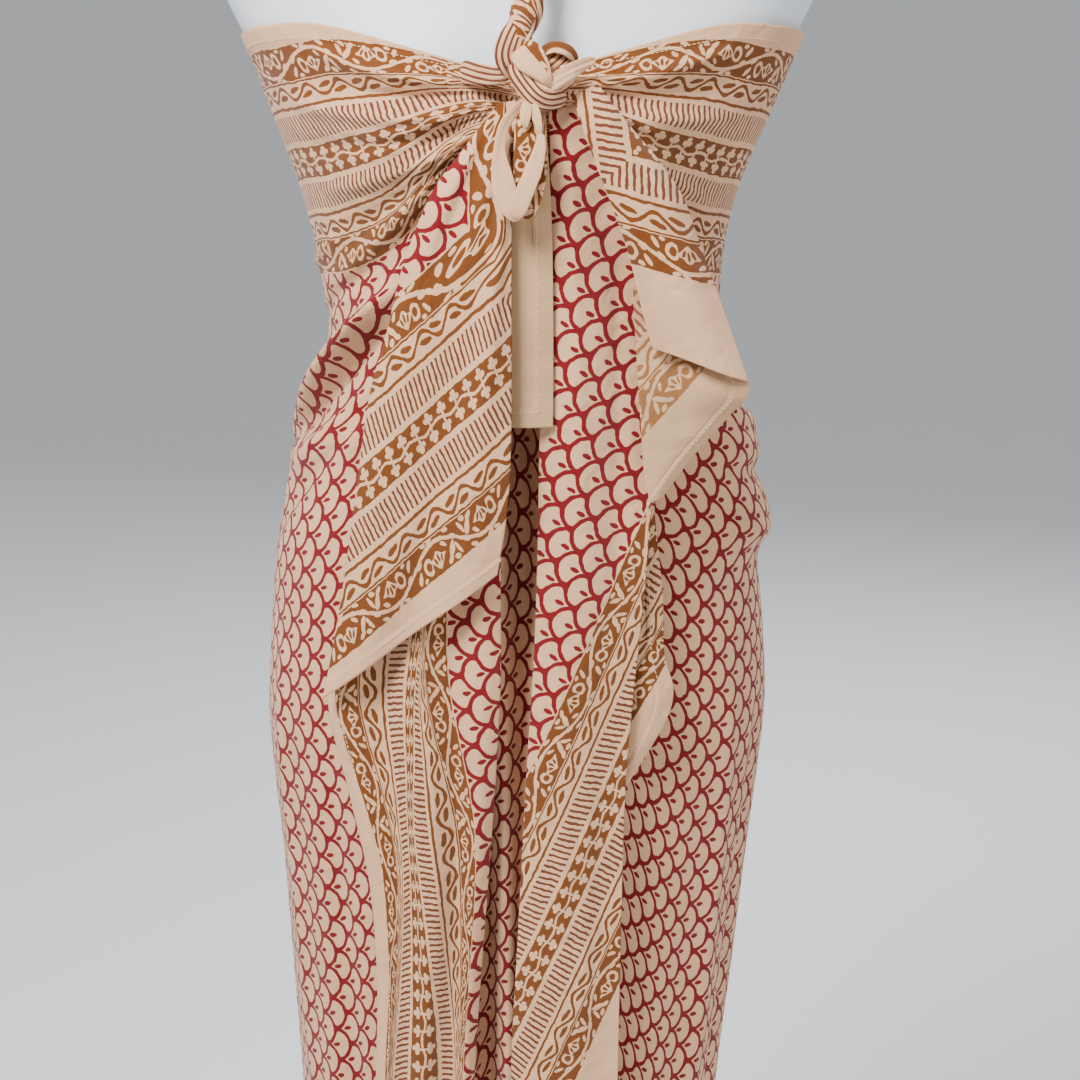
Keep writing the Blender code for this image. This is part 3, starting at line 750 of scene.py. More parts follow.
def run_steps(tree, steps, values):
    """Adds a table of sums as nodes. An input is a number or the name of an earlier result."""
    for name, operation, *inputs in steps:
        links = {i: values[x] if isinstance(x, str) else x for i, x in enumerate(inputs)}
        values[name] = add(tree, "ShaderNodeMath", links, operation=operation).outputs[0]


def cloth_material(name, cream, brown=None, bar=None, crimson=None):
    """Fine plain-woven cotton, block printed by hand, with uneven inks and wobbly edges.

    Each ink is a pair of colours, thick and thin.
    """
    material = bpy.data.materials.new(name)
    material.use_nodes = True
    tree = material.node_tree
    shader = tree.nodes["Principled BSDF"]
    shader.inputs["Roughness"].default_value = 0.88
    shader.inputs["Specular IOR Level"].default_value = 0.2
    shader.inputs["Sheen Weight"].default_value = 0.1
    shader.inputs["Sheen Roughness"].default_value = 0.6
    cloth = add(tree, "ShaderNodeUVMap", uv_map="cloth").outputs["UV"]
    # threads are 0.3 mm apart and drawn at 0.9 mm so that they show, over puckers of 16 mm
    threads = [
        add(tree, "ShaderNodeTexWave", {"Vector": cloth, "Scale": 350.0, "Distortion": 1.6},
            bands_direction=way)
        for way in "XY"
    ]
    woven = add(tree, "ShaderNodeMath", {0: threads[0].outputs[1], 1: threads[1].outputs[1]},
                operation="MAXIMUM")
    fine = add(tree, "ShaderNodeBump", {
        "Height": woven.outputs[0], "Strength": 0.22, "Distance": 0.0002,
    })
    pucker = add(tree, "ShaderNodeTexNoise", {
        "Vector": cloth, "Scale": 62.0, "Detail": 1.0, "Distortion": 0.6,
    })
    bump = add(tree, "ShaderNodeBump", {
        "Height": pucker.outputs["Fac"], "Normal": fine.outputs[0], "Strength": 0.7,
        "Distance": 0.0024,
    })
    tree.links.new(bump.outputs["Normal"], shader.inputs["Normal"])
    # the cream ground is a little darker in patches of 40 mm, as unbleached cotton is
    patches = add(tree, "ShaderNodeTexNoise", {"Vector": cloth, "Scale": 24.0, "Detail": 2.0})
    tint = add(tree, "ShaderNodeMix", {"Factor": patches.outputs["Fac"]}, data_type="RGBA")
    darker = [0.80 * part for part in linear(cream)[:3]]
    tint.inputs["A"].default_value = (darker[0], darker[1] * 0.97, darker[2] * 0.93, 1)
    tint.inputs["B"].default_value = linear(cream)
    if brown is None:
        tree.links.new(tint.outputs["Result"], shader.inputs["Base Color"])
        return material
    millimetres = add(tree, "ShaderNodeVectorMath", {0: cloth, 1: (1000, 1000, 0)},
                      operation="MULTIPLY")
    # the edges of the blocks wander by less than 1 mm to either side, over 5 mm
    wobble = add(tree, "ShaderNodeTexNoise", {
        "Vector": millimetres.outputs[0], "Scale": 0.2, "Detail": 1.0,
    })
    # ink lies thinner where the block pressed less, in spots of 6 mm with finer ones in them
    wear = add(tree, "ShaderNodeTexNoise", {
        "Vector": millimetres.outputs[0], "Scale": 0.16, "Detail": 3.0, "Roughness": 0.8,
    })
    shifted = add(tree, "ShaderNodeVectorMath", {
        0: wobble.outputs["Color"], 1: (1.9, 1.9, 0), 2: millimetres.outputs[0],
    }, operation="MULTIPLY_ADD")
    place = add(tree, "ShaderNodeSeparateXYZ", {0: shifted.outputs[0]})
    values = {"q": place.outputs[0], "p": place.outputs[1]}
    run_steps(tree, PRINT_STEPS, values)
    for band, pitch, middle, source, spins in CELLS:
        run_steps(tree, (
            (band + "_place", "MULTIPLY_ADD", "along", 1 / pitch, 0.5),
            (band + "_cell", "FLOOR", band + "_place"),
            (band + "_odd", "PINGPONG", band + "_cell", 1),
            (band + "_turn", "MULTIPLY_ADD", band + "_odd", -2, 1),
            (band + "_run", "WRAP", "along", pitch / 2, -pitch / 2),
            (band + "_x", "MULTIPLY", band + "_run", band + "_turn" if spins else 1),
            (band + "_up", "SUBTRACT", source, middle),
            (band + "_y", "MULTIPLY", band + "_up", band + "_turn"),
            (band + "_side", "ABSOLUTE", band + "_x"),
            (band + "_high", "ABSOLUTE", band + "_y"),
        ), values)
    for (band, group, mirrored), rows in OVALS.items():
        spot = add(tree, "ShaderNodeCombineXYZ", {
            0: values[band + ("_side" if mirrored else "_x")],
            1: values[band + ("_high" if band == "vine" else "_y")],
        })
        key = band + "_" + group
        for x, y, half_length, half_width, tilt in rows:
            oval = add(tree, "ShaderNodeMapping", {
                "Vector": spot.outputs[0],
                "Location": (x, y, 0),
                "Rotation": (0, 0, math.radians(tilt)),
                "Scale": (half_length, half_width, 1),
            }, vector_type="TEXTURE")
            size = add(tree, "ShaderNodeVectorMath", {0: oval.outputs[0]}, operation="LENGTH")
            values["oval"] = size.outputs["Value"]
            if key in values:
                run_steps(tree, ((key, "MINIMUM", key, "oval"),), values)
            else:
                values[key] = values["oval"]
    run_steps(tree, BAND_STEPS, values)
    lattice = add(tree, "ShaderNodeUVMap", uv_map="scales").outputs["UV"]
    share = 1000 / SCALE_RADIUS
    in_scales = add(tree, "ShaderNodeVectorMath", {0: lattice, 1: (share, share, 0)},
                    operation="MULTIPLY")
    moved = add(tree, "ShaderNodeVectorMath", {
        0: wobble.outputs["Color"], 1: (0.14, 0.14, 0), 2: in_scales.outputs[0],
    }, operation="MULTIPLY_ADD")
    grid = add(tree, "ShaderNodeSeparateXYZ", {0: moved.outputs[0]})
    values["s"], values["t"] = grid.outputs[0], grid.outputs[1]
    run_steps(tree, FIELD_STEPS, values)
    colour = tint.outputs["Result"]
    for ink, tints in (("brown", brown), ("bars", bar), ("crimson", crimson)):
        dye = add(tree, "ShaderNodeMix", {"Factor": wear.outputs["Fac"]}, data_type="RGBA")
        dye.inputs["A"].default_value = linear(tints[1])
        dye.inputs["B"].default_value = linear(tints[0])
        mixed = add(tree, "ShaderNodeMix", {"Factor": values[ink]}, data_type="RGBA")
        tree.links.new(colour, mixed.inputs["A"])
        tree.links.new(dye.outputs["Result"], mixed.inputs["B"])
        colour = mixed.outputs["Result"]
    tree.links.new(colour, shader.inputs["Base Color"])
    return material


def fall_grid(name, across, down):
    """Front face of a fall as rows from the knot down, columns from left to right."""
    spec = FALLS[name]
    rows = [(i,) + row for i, row in enumerate(spec["rows"])]
    v = np.linspace(0, len(rows) - 1, down + 1)[:, None]
    u = np.linspace(0, 1, across + 1)[None, :]
    left_x, left_z, right_x, right_z, left_y, right_y, bulge = (
        between(v, rows, column) for column in range(1, 8)
    )
    fade = step_up(v, 0, 2)
    wave = spec["wave"] * fade * np.sin(2 * math.pi * spec["waves"] * u)
    x = left_x * (1 - u) + right_x * u
    z = left_z * (1 - u) + right_z * u
    inside = step_up(v, 0, 1.0) * step_up(np.minimum(u, 1 - u), 0, 0.10)
    fine = creases(x, z, spec["creases"]) * inside
    y = -(left_y * (1 - u) + right_y * u + bulge * np.sin(math.pi * u) + wave + fine)
    return np.stack([x, y, z], axis=-1)


def hem_distances(name, grid):
    """How far each point of a fall lies from its hemmed edges, in the cloth."""
    across = row_lengths(grid)
    down = row_lengths(grid.transpose(1, 0, 2)).T
    away = np.full(grid.shape[:2], 1e3)
    hem = FALLS[name]["hem"]
    if "left" in hem:
        away = np.minimum(away, across)
    if "right" in hem:
        away = np.minimum(away, across[:, -1:] - across)
    if "bottom" in hem:
        away = np.minimum(away, down[-1:] - down)
    return away


def sewing_lines(grid, inward):
    """Lines of points where the stitching runs, just inside the inner edge of a hem."""
    at = HEM_WIDTH - STITCHES_IN
    lines = []
    for sheet, away in ((grid, inward), (grid.transpose(1, 0, 2), inward.T)):
        for flipped in (False, True):
            part = away[:, ::-1] if flipped else away
            points = sheet[:, ::-1] if flipped else sheet
            if np.max(part[:, 0]) > 0.01:
                continue
            # the first place along each row where the distance passes the stitching line
            line = []
            for row, spots in zip(part, points):
                past = np.nonzero(row > at)[0]
                if len(past) and past[0] > 0 and abs(row[past[0]] - at) < 4:
                    i = past[0]
                    f = (at - row[i - 1]) / max(row[i] - row[i - 1], 1e-6)
                    line.append(spots[i - 1] * (1 - f) + spots[i] * f)
            if len(line) > 4:
                lines.append(np.array(line))
    return lines


def fall_maps(name, grid):
    """Cloth places and scale places of a fall's points."""
    x0, z0, p_at, p_turn, p_share, q_at, q_turn, q_share, scales, scales_share = PRINTS[name]
    x, z = grid[:, :, 0], grid[:, :, 2]
    p_turn, q_turn, scales = np.radians((p_turn, q_turn, scales))
    p = p_at + p_share * ((x - x0) * np.cos(p_turn) + (z - z0) * np.sin(p_turn))
    q = q_at + q_share * ((x - x0) * np.cos(q_turn) + (z - z0) * np.sin(q_turn))
    if name == "left_fall_upper":
        # above the corner of the print the upright border is gathered toward the knot
        rise = step_up(z, 1121, 1163)
        gathered = 94.5 + 19 * rise - (1.177 - 0.157 * rise) * (x + 5)
        q = np.where(z > 1121, gathered, q)
    if name == "left_fall_lower":
        share = np.linspace(0, 1, grid.shape[1])
        levels = np.linspace(0, len(FALLS[name]["rows"]) - 1, len(grid))
        edges = np.stack([between(levels, PLEATED_PRINT, c) for c in range(1, 9)], axis=-1)
        p = np.stack([
            np.interp(share, [0, *row, 1], [-13, *BAND_EDGES, 140 + 110 * (1 - row[-1])])
            for row in edges
        ])
    cloth = np.stack([q, p], axis=-1).reshape(-1, 2)
    s = (x * np.cos(scales) + z * np.sin(scales)) * scales_share
    t = (-x * np.sin(scales) + z * np.cos(scales)) * scales_share
    if name in ("left_fall_upper", "centre_panel"):
        t = -t
    return {"cloth": cloth, "scales": np.stack([s, t], axis=-1).reshape(-1, 2)}


def make_strands(name, sides=40, steps=70):
    """Pleated strands of cloth as flat tubes with rounded ends, in one mesh."""
    points, faces, places = [], [], []
    for strand, rows in STRANDS[name].items():
        keyed = [(i,) + row for i, row in enumerate(rows)]
        at = np.linspace(0, len(rows) - 1, steps)
        route = np.stack([between(at, keyed, c) for c in (1, 2, 3)], axis=-1)
        half_width, half_depth, lean = (between(at, keyed, c) for c in (4, 5, 6))
        close = np.sqrt(np.clip(1 - np.abs(2 * at / at[-1] - 1) ** 14, 0, 1))
        ahead = unit(np.gradient(route, axis=0))
        across = unit(np.cross(ahead, (0.0, 1.0, 0.0)))
        out = np.cross(across, ahead)
        lean = np.radians(lean)[:, None]
        wide = across * np.cos(lean) + out * np.sin(lean)
        deep = out * np.cos(lean) - across * np.sin(lean)
        turn = full_turn(sides)
        side = np.cos(turn)[None, :]
        p_middle, q_start, pleats, lengthways = STRAND_PRINTS[strand]
        wander = side * half_width[:, None] * 1.5 + 0.9 * at[:, None]
        pleat = 0.7 * np.cos(wander + 0.8 * np.sin(0.6 * wander)) + 0.3 * np.cos(2.7 * wander)
        pleat = pleats * pleat * np.abs(np.sin(turn))[None, :]
        # flat across the middle, with the edges rolled a little thicker
        rolled = np.sign(np.sin(turn)) * np.abs(np.sin(turn)) ** 0.6 * (0.72 + 0.28 * side ** 2)
        depth = half_depth[:, None] * close[:, None] * rolled
        depth = depth + pleat * np.sign(np.sin(turn))[None, :] * close[:, None]
        width = half_width[:, None] * close[:, None] * side
        run = np.concatenate([[0], np.cumsum(np.linalg.norm(np.diff(route, axis=0), axis=1))])
        first = sum(len(part) for part in points)
        points.append(tube(route, wide, deep, width, depth).reshape(-1, 3))
        faces += grid_faces(steps, sides + 1, first)
        if lengthways:
            q = q_start + half_width[:, None] * side * 1.25 + 0.12 * run[:, None]
            p = p_middle + 0.2 * run[:, None] + 2.2 * np.abs(side)
        else:
            q = q_start + run[:, None] + 0 * side
            p = p_middle + half_width[:, None] * side * 1.3
        places.append(np.stack([q, p], axis=-1).reshape(-1, 2))
    places = np.concatenate(places)
    return make_piece(
        name, np.concatenate(points), faces, get_material("block_printed_cotton"),
        {"cloth": places, "scales": places},
    )


def make_rope(name, route, radius, closed, pitch, sides=72):
    """Twisted cloth rope along a route: two plies, each with its pleats wound round."""
    steps = len(route)
    if closed:
        ahead = np.roll(route, -1, axis=0) - np.roll(route, 1, axis=0)
        run = np.linalg.norm(np.roll(route, -1, axis=0) - route, axis=1)
    else:
        ahead = np.gradient(route, axis=0)
        run = np.linalg.norm(np.diff(route, axis=0), axis=1)
    ahead = unit(ahead)
    along = np.concatenate([[0], np.cumsum(run)])
    if closed:
        pitch = along[-1] / round(along[-1] / pitch)
        route = np.concatenate([route, route[:1]])
        ahead = np.concatenate([ahead, ahead[:1]])
        radius = np.concatenate([radius, radius[:1]])
        steps += 1
    up = (0.0, 0.0, 1.0) if closed else (0.0, 1.0, 0.02)
    across = unit(np.cross(ahead, up))
    other = np.cross(across, ahead)
    angle = full_turn(sides)[None, :]
    wound = angle - 2 * math.pi * along[:, None] / pitch
    # two plies, with pleats of two sizes
    lobe = 1 + 0.13 * np.cos(2 * wound) + 0.025 * np.cos(12 * wound) + 0.015 * np.cos(19 * wound)
    reach = radius[:, None] * lobe * 0.95
    grid = tube(route, across, other, reach * np.cos(angle), reach * np.sin(angle))
    # the print swings from one side of the border to the other as it winds
    p = BORDER_MIDDLE + 62 * np.sin((46 + 9.0 * wound) / 62)
    q = 600 + along[:, None] + 0 * p
    places = np.stack([q, p], axis=-1).reshape(-1, 2)
    return make_piece(
        name, grid.reshape(-1, 3), grid_faces(steps, sides + 1),
        get_material("block_printed_cotton"), {"cloth": places, "scales": places},
    )


def stitch_tree():
    """Node tree that lays a row of stitches along each line of its mesh."""
    tree = bpy.data.node_groups.new("stitch_row", "GeometryNodeTree")
    face = tree.interface
    face.new_socket("Lines", in_out="INPUT", socket_type="NodeSocketGeometry")
    for name in ("Stitch length", "Stitch width", "Gap"):
        face.new_socket(name, in_out="INPUT", socket_type="NodeSocketFloat")
    face.new_socket("Thread", in_out="INPUT", socket_type="NodeSocketMaterial")
    face.new_socket("Stitches", in_out="OUTPUT", socket_type="NodeSocketGeometry")
    start = add(tree, "NodeGroupInput")
    line = add(tree, "GeometryNodeMeshToCurve", {"Mesh": start.outputs["Lines"]})
    pitch = add(tree, "ShaderNodeMath", {
        0: start.outputs["Stitch length"], 1: start.outputs["Gap"],
    }, operation="ADD")
    spaced = add(tree, "GeometryNodeResampleCurve", {
        "Curve": line.outputs["Curve"], "Length": pitch.outputs[0],
    }, mode="LENGTH")
    tangent = add(tree, "GeometryNodeInputTangent")
    turned = add(tree, "FunctionNodeAlignRotationToVector", {
        "Vector": tangent.outputs["Tangent"],
    }, axis="Z")
    thread = add(tree, "GeometryNodeMeshUVSphere", {"Segments": 6, "Rings": 4, "Radius": 0.5})
    size = add(tree, "ShaderNodeCombineXYZ", {
        0: start.outputs["Stitch width"], 1: start.outputs["Stitch width"],
        2: start.outputs["Stitch length"],
    })
    laid = add(tree, "GeometryNodeInstanceOnPoints", {
        "Points": spaced.outputs["Curve"], "Instance": thread.outputs["Mesh"],
        "Rotation": turned.outputs["Rotation"], "Scale": size.outputs["Vector"],
    })
    real = add(tree, "GeometryNodeRealizeInstances", {"Geometry": laid.outputs["Instances"]})
    dyed = add(tree, "GeometryNodeSetMaterial", {
        "Geometry": real.outputs["Geometry"], "Material": start.outputs["Thread"],
    })
    end = add(tree, "NodeGroupOutput")
    tree.links.new(dyed.outputs["Geometry"], end.inputs["Stitches"])
    return tree


def make_stitches(name, lines, length):
    """Mesh of stitches along lines of points in millimetres."""
    points = np.concatenate(lines)
    edges, first = [], 0
    for line in lines:
        edges += [(first + i, first + i + 1) for i in range(len(line) - 1)]
        first += len(line)
    mesh = bpy.data.meshes.new(name + "_lines")
    mesh.from_pydata((points * MM).tolist(), edges, [])
    route = bpy.data.objects.new(name + "_lines", mesh)
    bpy.context.collection.objects.link(route)
    tree = stitch_tree()
    rows = route.modifiers.new("stitch_row", "NODES")
    rows.node_group = tree
    inputs = {
        item.name: item.identifier
        for item in tree.interface.items_tree if item.in_out == "INPUT"
    }
    rows[inputs["Stitch length"]] = length
    rows[inputs["Stitch width"]] = 0.0007
    rows[inputs["Gap"]] = 0.0008
    rows[inputs["Thread"]] = get_material("cotton_thread")
    sewn = route.evaluated_get(bpy.context.evaluated_depsgraph_get())
    plain = bpy.data.meshes.new_from_object(sewn)
    bpy.data.objects.remove(route)
    piece = bpy.data.objects.new(name, plain)
    bpy.context.collection.objects.link(piece)
    return piece


def make_shell(name, outer, thick, maps, material):
    """Closed thin cloth between a grid of points and the same grid moved in."""
    rows, columns = outer.shape[:2]
    count = rows * columns
    inner = outer - grid_normals(outer) * thick
    points = np.concatenate([outer.reshape(-1, 3), inner.reshape(-1, 3)])
    faces = grid_faces(rows, columns) + grid_faces(rows, columns, count, True)
    at = np.arange(count).reshape(rows, columns)
    rim = np.concatenate([at[0, :-1], at[:-1, -1], at[-1, :0:-1], at[:0:-1, 0]])
    ahead = np.roll(rim, -1)
    faces += np.stack([rim, ahead, ahead + count, rim + count], axis=-1).tolist()
    doubled = {key: np.concatenate([value, value]) for key, value in maps.items()}
    # the cut edge is square, so its faces aren't shaded round
    return make_piece(name, points, faces, material, doubled, len(rim))


class SarongSettings(bpy.types.PropertyGroup):
    """Sizes that a user would change."""

    cloth_thickness: FloatProperty(
        name="Cloth thickness", description="Thickness of the cotton as drawn",
        default=0.0005, min=0.0002, max=0.0015, unit="LENGTH",
    )
    wrap_columns: IntProperty(
        name="Columns of the wrap", description="How finely the wrap is divided round the body",
        default=330, min=120, max=420,
    )
    stitch_length: FloatProperty(
        name="Stitch length", description="Length of one stitch of the hems",
        default=0.0024, min=0.0015, max=0.004, unit="LENGTH",
    )
    form_tint: FloatVectorProperty(
        name="Form colour", description="Colour of the dress form's shell",
        default=linear("DDE3EA")[:3], size=3, subtype="COLOR", min=0, max=1,
    )


MATERIALS = {}


def plain_material(name, tint, roughness):
    """Material of one colour, with its tree and its shader."""
    made = bpy.data.materials.new(name)
    made.use_nodes = True
    shader = made.node_tree.nodes["Principled BSDF"]
    shader.inputs["Base Color"].default_value = tint
    shader.inputs["Roughness"].default_value = roughness
    return made, made.node_tree, shader


def add_relief(tree, shader, height, strength):
    """Relief of 0.2 mm at most on a hard finish."""
    relief = add(tree, "ShaderNodeBump", {
        "Height": height, "Strength": strength, "Distance": 0.0002,
    })
    tree.links.new(relief.outputs["Normal"], shader.inputs["Normal"])


def get_material(name):
    """The cloth and hard finishes, each made once."""
    if name in MATERIALS:
        return MATERIALS[name]
    if name == "block_printed_cotton":
        # matt cream cotton with tan, rust and crimson inks, thinner in places
        made = cloth_material(
            name, "DFAF88", ("7A410A", "5E2E05"), ("733A20", "5A2C16"), ("80000E", "66000A"),
        )
    elif name == "printed_underside_with_painted_shade":
        # the same cloth from its back, where the inks show through paler; its cream ground is
        # darker than the face's as painted shade, for the turned corner hangs in shade
        made = cloth_material(
            name, "CFA57F", ("96653A", "85542C"), ("8C5C42", "784832"), ("9A3E40", "863034"),
        )
    elif name == "plain_cotton_painted_shade":
        # the cloth's unprinted end: matt cream, a little darker in patches, and its whole cream
        # darker than the printed cloth's as painted shade, since this strip hangs in shade
        made = cloth_material(name, "C9A078")
    elif name == "cotton_thread":
        # spun cotton sewing thread: cream and matt, a little paler than the cloth
        made, tree, shader = plain_material(name, linear("E2C49A"), 0.8)
    elif name == "moulded_white_shell":
        # moulded glass fibre with a satin paint: smooth, cool white, a broad soft highlight
        tint = (*bpy.context.scene.sarong.form_tint, 1)
        made, tree, shader = plain_material(name, tint, 0.45)
        shader.inputs["Specular IOR Level"].default_value = 0.35
        # sprayed paint leaves an orange-peel of about 3 mm
        where = add(tree, "ShaderNodeTexCoord").outputs["Object"]
        peel = add(tree, "ShaderNodeTexNoise", {"Vector": where, "Scale": 320.0})
        add_relief(tree, shader, peel.outputs["Fac"], 0.08)
    elif name == "brushed_steel":
        # turned and brushed steel: grey, with fine rings that stretch the highlight
        made, tree, shader = plain_material(name, linear("B4B6B8"), 0.34)
        shader.inputs["Metallic"].default_value = 1.0
        shader.inputs["Anisotropic"].default_value = 0.4
        # polishing rings are about 0.1 mm apart and drawn at 1.2 mm so that they show
        where = add(tree, "ShaderNodeTexCoord").outputs["Object"]
        rings = add(tree, "ShaderNodeTexWave", {
            "Vector": where, "Scale": 260.0, "Distortion": 0.4, "Detail": 3.0,
        }, wave_type="RINGS", rings_direction="Z")
        add_relief(tree, shader, rings.outputs[1], 0.12)
    else:
        # matt paper of a studio floor: pale grey, with no highlight
        made, tree, shader = plain_material(name, linear("D9DBDC"), 0.9)
    MATERIALS[name] = made
    return made


def put(piece, node, replaces=True):
    """Rides a piece on the one body, in a node's place or beside what takes that place."""
    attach(piece, "root")
    if replaces:
        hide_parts(node)


class SARONG_OT_wrap(bpy.types.Operator):
    """Make the wrap round the body."""

    bl_idname = "sarong.wrap"
    bl_label = "Wrap"

    def execute(self, context):
        columns = context.scene.sarong.wrap_columns
        seam, pull = -12.0, 11.7
        turns = np.linspace(0, 360, columns + 1)
        # columns stand closer together over the pleats in front
        turns = turns - pull * np.sin(np.radians(2 * (turns + seam)))
        angles = np.radians(turns + seam + pull * math.sin(math.radians(2 * seam)))
        angles = np.where(angles > math.pi, angles - 2 * math.pi, angles)[None, :]
        # rows lie closer together at the hems and over the bust
        downs = np.concatenate([
            np.linspace(0, 14, 8, endpoint=False),
            np.linspace(14, 330, 118, endpoint=False),
            np.linspace(330, 1088, 130, endpoint=False),
            np.linspace(1088, WRAP_DROP, 7),
        ])[:, None]
        x, y, z = wrap_point(angles, downs)
        grid = np.stack([x, y, z], axis=-1)
        hem = step_up(HEM_WIDTH + 1.2 - np.minimum(downs, WRAP_DROP - downs), 0, 1.2)
        normals = grid_normals(grid)
        outer = grid + normals * (0.6 * hem)[..., None]
        back = int(np.argmin(np.abs(turns - 180)))
        across = row_lengths(grid)
        hips = row_lengths(grid[170:171] * (1, 1, 0))
        q = 1200 + 0.6 * (across - across[:, back:back + 1]) + 0.4 * (hips - hips[:, back])
        away = np.degrees(np.abs(angles))
        margin = 4 + 11 * step_up(away, 14, 58)
        p = np.minimum(downs - margin, WRAP_DROP - downs - 15)
        # the grain of the cloth leans in toward the middle as it goes down each side
        side = np.where(
            np.abs(angles) < math.pi / 2, np.sin(angles),
            np.sign(angles) * (2 - 2 * np.abs(angles) / math.pi),
        )
        leaning = q + 0.18 * side * (320 * np.tanh((downs - 320) / 320))
        maps = {
            "cloth": np.stack([q, p], axis=-1).reshape(-1, 2),
            "scales": np.stack([-0.94 * leaning, 0.94 * downs + 0 * q], axis=-1).reshape(-1, 2),
        }
        # the hems are turned in, so the same cloth goes on inside them
        rows = np.arange(len(downs))
        top, foot = rows[7::-1], rows[:-8:-1]
        turned = np.concatenate([top, rows, foot])
        inside = 0.9 * np.concatenate([np.ones(len(top)), 0 * rows, np.ones(len(foot))])
        outer = outer[turned] - normals[turned] * inside[:, None, None]
        maps = {
            layer: places.reshape(*grid.shape[:2], 2)[turned].reshape(-1, 2)
            for layer, places in maps.items()
        }
        piece = make_piece(
            "wrap_cloth", outer.reshape(-1, 3), grid_faces(*outer.shape[:2]),
            get_material("block_printed_cotton"), maps,
        )
        x, y, z = wrap_point(angles, np.array([
            [HEM_WIDTH - STITCHES_IN], [WRAP_DROP - HEM_WIDTH + STITCHES_IN],
        ]))
        outwards = np.stack([np.sin(angles), -np.cos(angles), 0 * angles], axis=-1)
        lines = np.stack([x, y, z], axis=-1) + 0.8 * outwards
        stitches = make_stitches("wrap_stitches", list(lines), context.scene.sarong.stitch_length)
        put(stitches, "wrap", False)
        put(piece, "wrap")
        return {"FINISHED"}


class SARONG_OT_falls(bpy.types.Operator):
    """Make the falls of cloth that hang from the knot."""

    bl_idname = "sarong.falls"
    bl_label = "Falls"

    def execute(self, context):
        thick = context.scene.sarong.cloth_thickness / MM
        for name, spec in FALLS.items():
            grid = fall_grid(name, 90, 200)
            inward = hem_distances(name, grid)
            normals = grid_normals(grid)
            # a hem is the cloth folded over twice, so it is thicker by the fold
            lift = 0.5 * step_up(HEM_WIDTH + 1.2 - inward, 0, 1.2)
            lift = lift - 0.25 * bell(inward, HEM_WIDTH + 1.4, 0.9)
            outer = grid + normals * lift[..., None]
            finish = "block_printed_cotton"
            # the turned corner shows the cloth's back: paler inks, and a darker cream ground that
            # is painted shade
            if name == "right_fall_turned":
                finish = "printed_underside_with_painted_shade"
            # the plain hanging end takes a darker cream that is painted shade
            if name == "hanging_end":
                finish = "plain_cotton_painted_shade"
            piece = make_shell(
                name + "_cloth", outer, thick, fall_maps(name, grid), get_material(finish),
            )
            stitches = None
            lines = sewing_lines(outer + normals * 0.12, inward)
            if lines:
                length = context.scene.sarong.stitch_length
                stitches = make_stitches(name + "_stitches", lines, length)
            put(piece, name)
            if stitches:
                put(stitches, name, False)
            width, length, area = spec["cut"]
        return {"FINISHED"}


class SARONG_OT_knot(bpy.types.Operator):
    """Make the knot and its loop from their strands."""

    bl_idname = "sarong.knot"
    bl_label = "Knot and loop"

    def execute(self, context):
        put(make_strands("knot_cloth"), "knot")
        put(make_strands("knot_loop_cloth"), "knot_loop")
        return {"FINISHED"}


class SARONG_OT_halter(bpy.types.Operator):
    """Make the twisted rope from the knot to the neck, and round it."""

    bl_idname = "sarong.halter"
    bl_label = "Halter"

    def execute(self, context):
        at = np.linspace(0, 5, 150)
        route = np.stack([between(at, HALTER, column) for column in (1, 2, 3)], axis=-1)
        radius = (7.4 + 2.0 * bell(at, 0.6, 0.8)) * np.sqrt(np.clip(1 - (1 - at / 2.5) ** 40, 0, 1))
        halter = make_rope("halter_cloth", route, radius, False, 54)
        angle = np.linspace(0, 2 * math.pi, 180, endpoint=False)
        z = 1461 + 13 * (0.5 - 0.5 * np.cos(angle))
        x, y = form_point(angle, z - 6, 10, 2.0)
        route = np.stack([x, y, z], axis=-1)
        ring = make_rope("neck_ring_cloth", route, np.full(180, 6.4), True, 50)
        put(halter, "halter_rope")
        put(ring, "neck_ring")
        return {"FINISHED"}


class SARONG_OT_form(bpy.types.Operator):
    """Make the dress form and its stand."""

    bl_idname = "sarong.form"
    bl_label = "Form and stand"

    def execute(self, context):
        columns, rows = 200, 190
        angles = full_turn(columns)[None, :]
        z = np.linspace(FORM_FOOT, FORM_TOP, rows)[:, None]
        x, y = form_point(angles, z)
        y = y - np.where(np.cos(angles) > 0, bust(x, z, False), 0)
        points = np.stack([x, y, z + 0 * x], axis=-1)[::-1].reshape(-1, 3)
        faces = grid_faces(rows, columns + 1)
        last = (rows - 1) * (columns + 1)
        faces += [list(range(1, columns + 1)), list(range(last + columns, last, -1))]
        white = get_material("moulded_white_shell")
        piece = make_piece("dress_form_shell", points, faces, white, None, 2)
        put(piece, "dress_form")
        base = (
            (0, 0), (143, 0), (146, 0.6), (148, 2.2), (149, 4.2), (149, 8.6), (148, 11),
            (146.4, 12.8), (144, 13.8), (140, 14.2), (60, 15), (24, 15.4), (20, 16.6),
            (18.6, 19), (17.8, 24), (17, 30), (15.6, 33.6), (13, 35), (11.2, 35.4), (0, 35.4),
        )
        pole = (
            (0, 35), (11, 35), (11, 300), (11, 420), (14.4, 422), (15, 424), (15, 446),
            (14.4, 448), (11, 450), (11, 700), (11, FORM_FOOT - 0.3), (0, FORM_FOOT - 0.3),
        )
        steel = get_material("brushed_steel")
        put(make_turned("stand_base_steel", base, steel), "stand_base")
        put(make_turned("stand_pole_steel", pole, steel), "stand_pole")
        return {"FINISHED"}


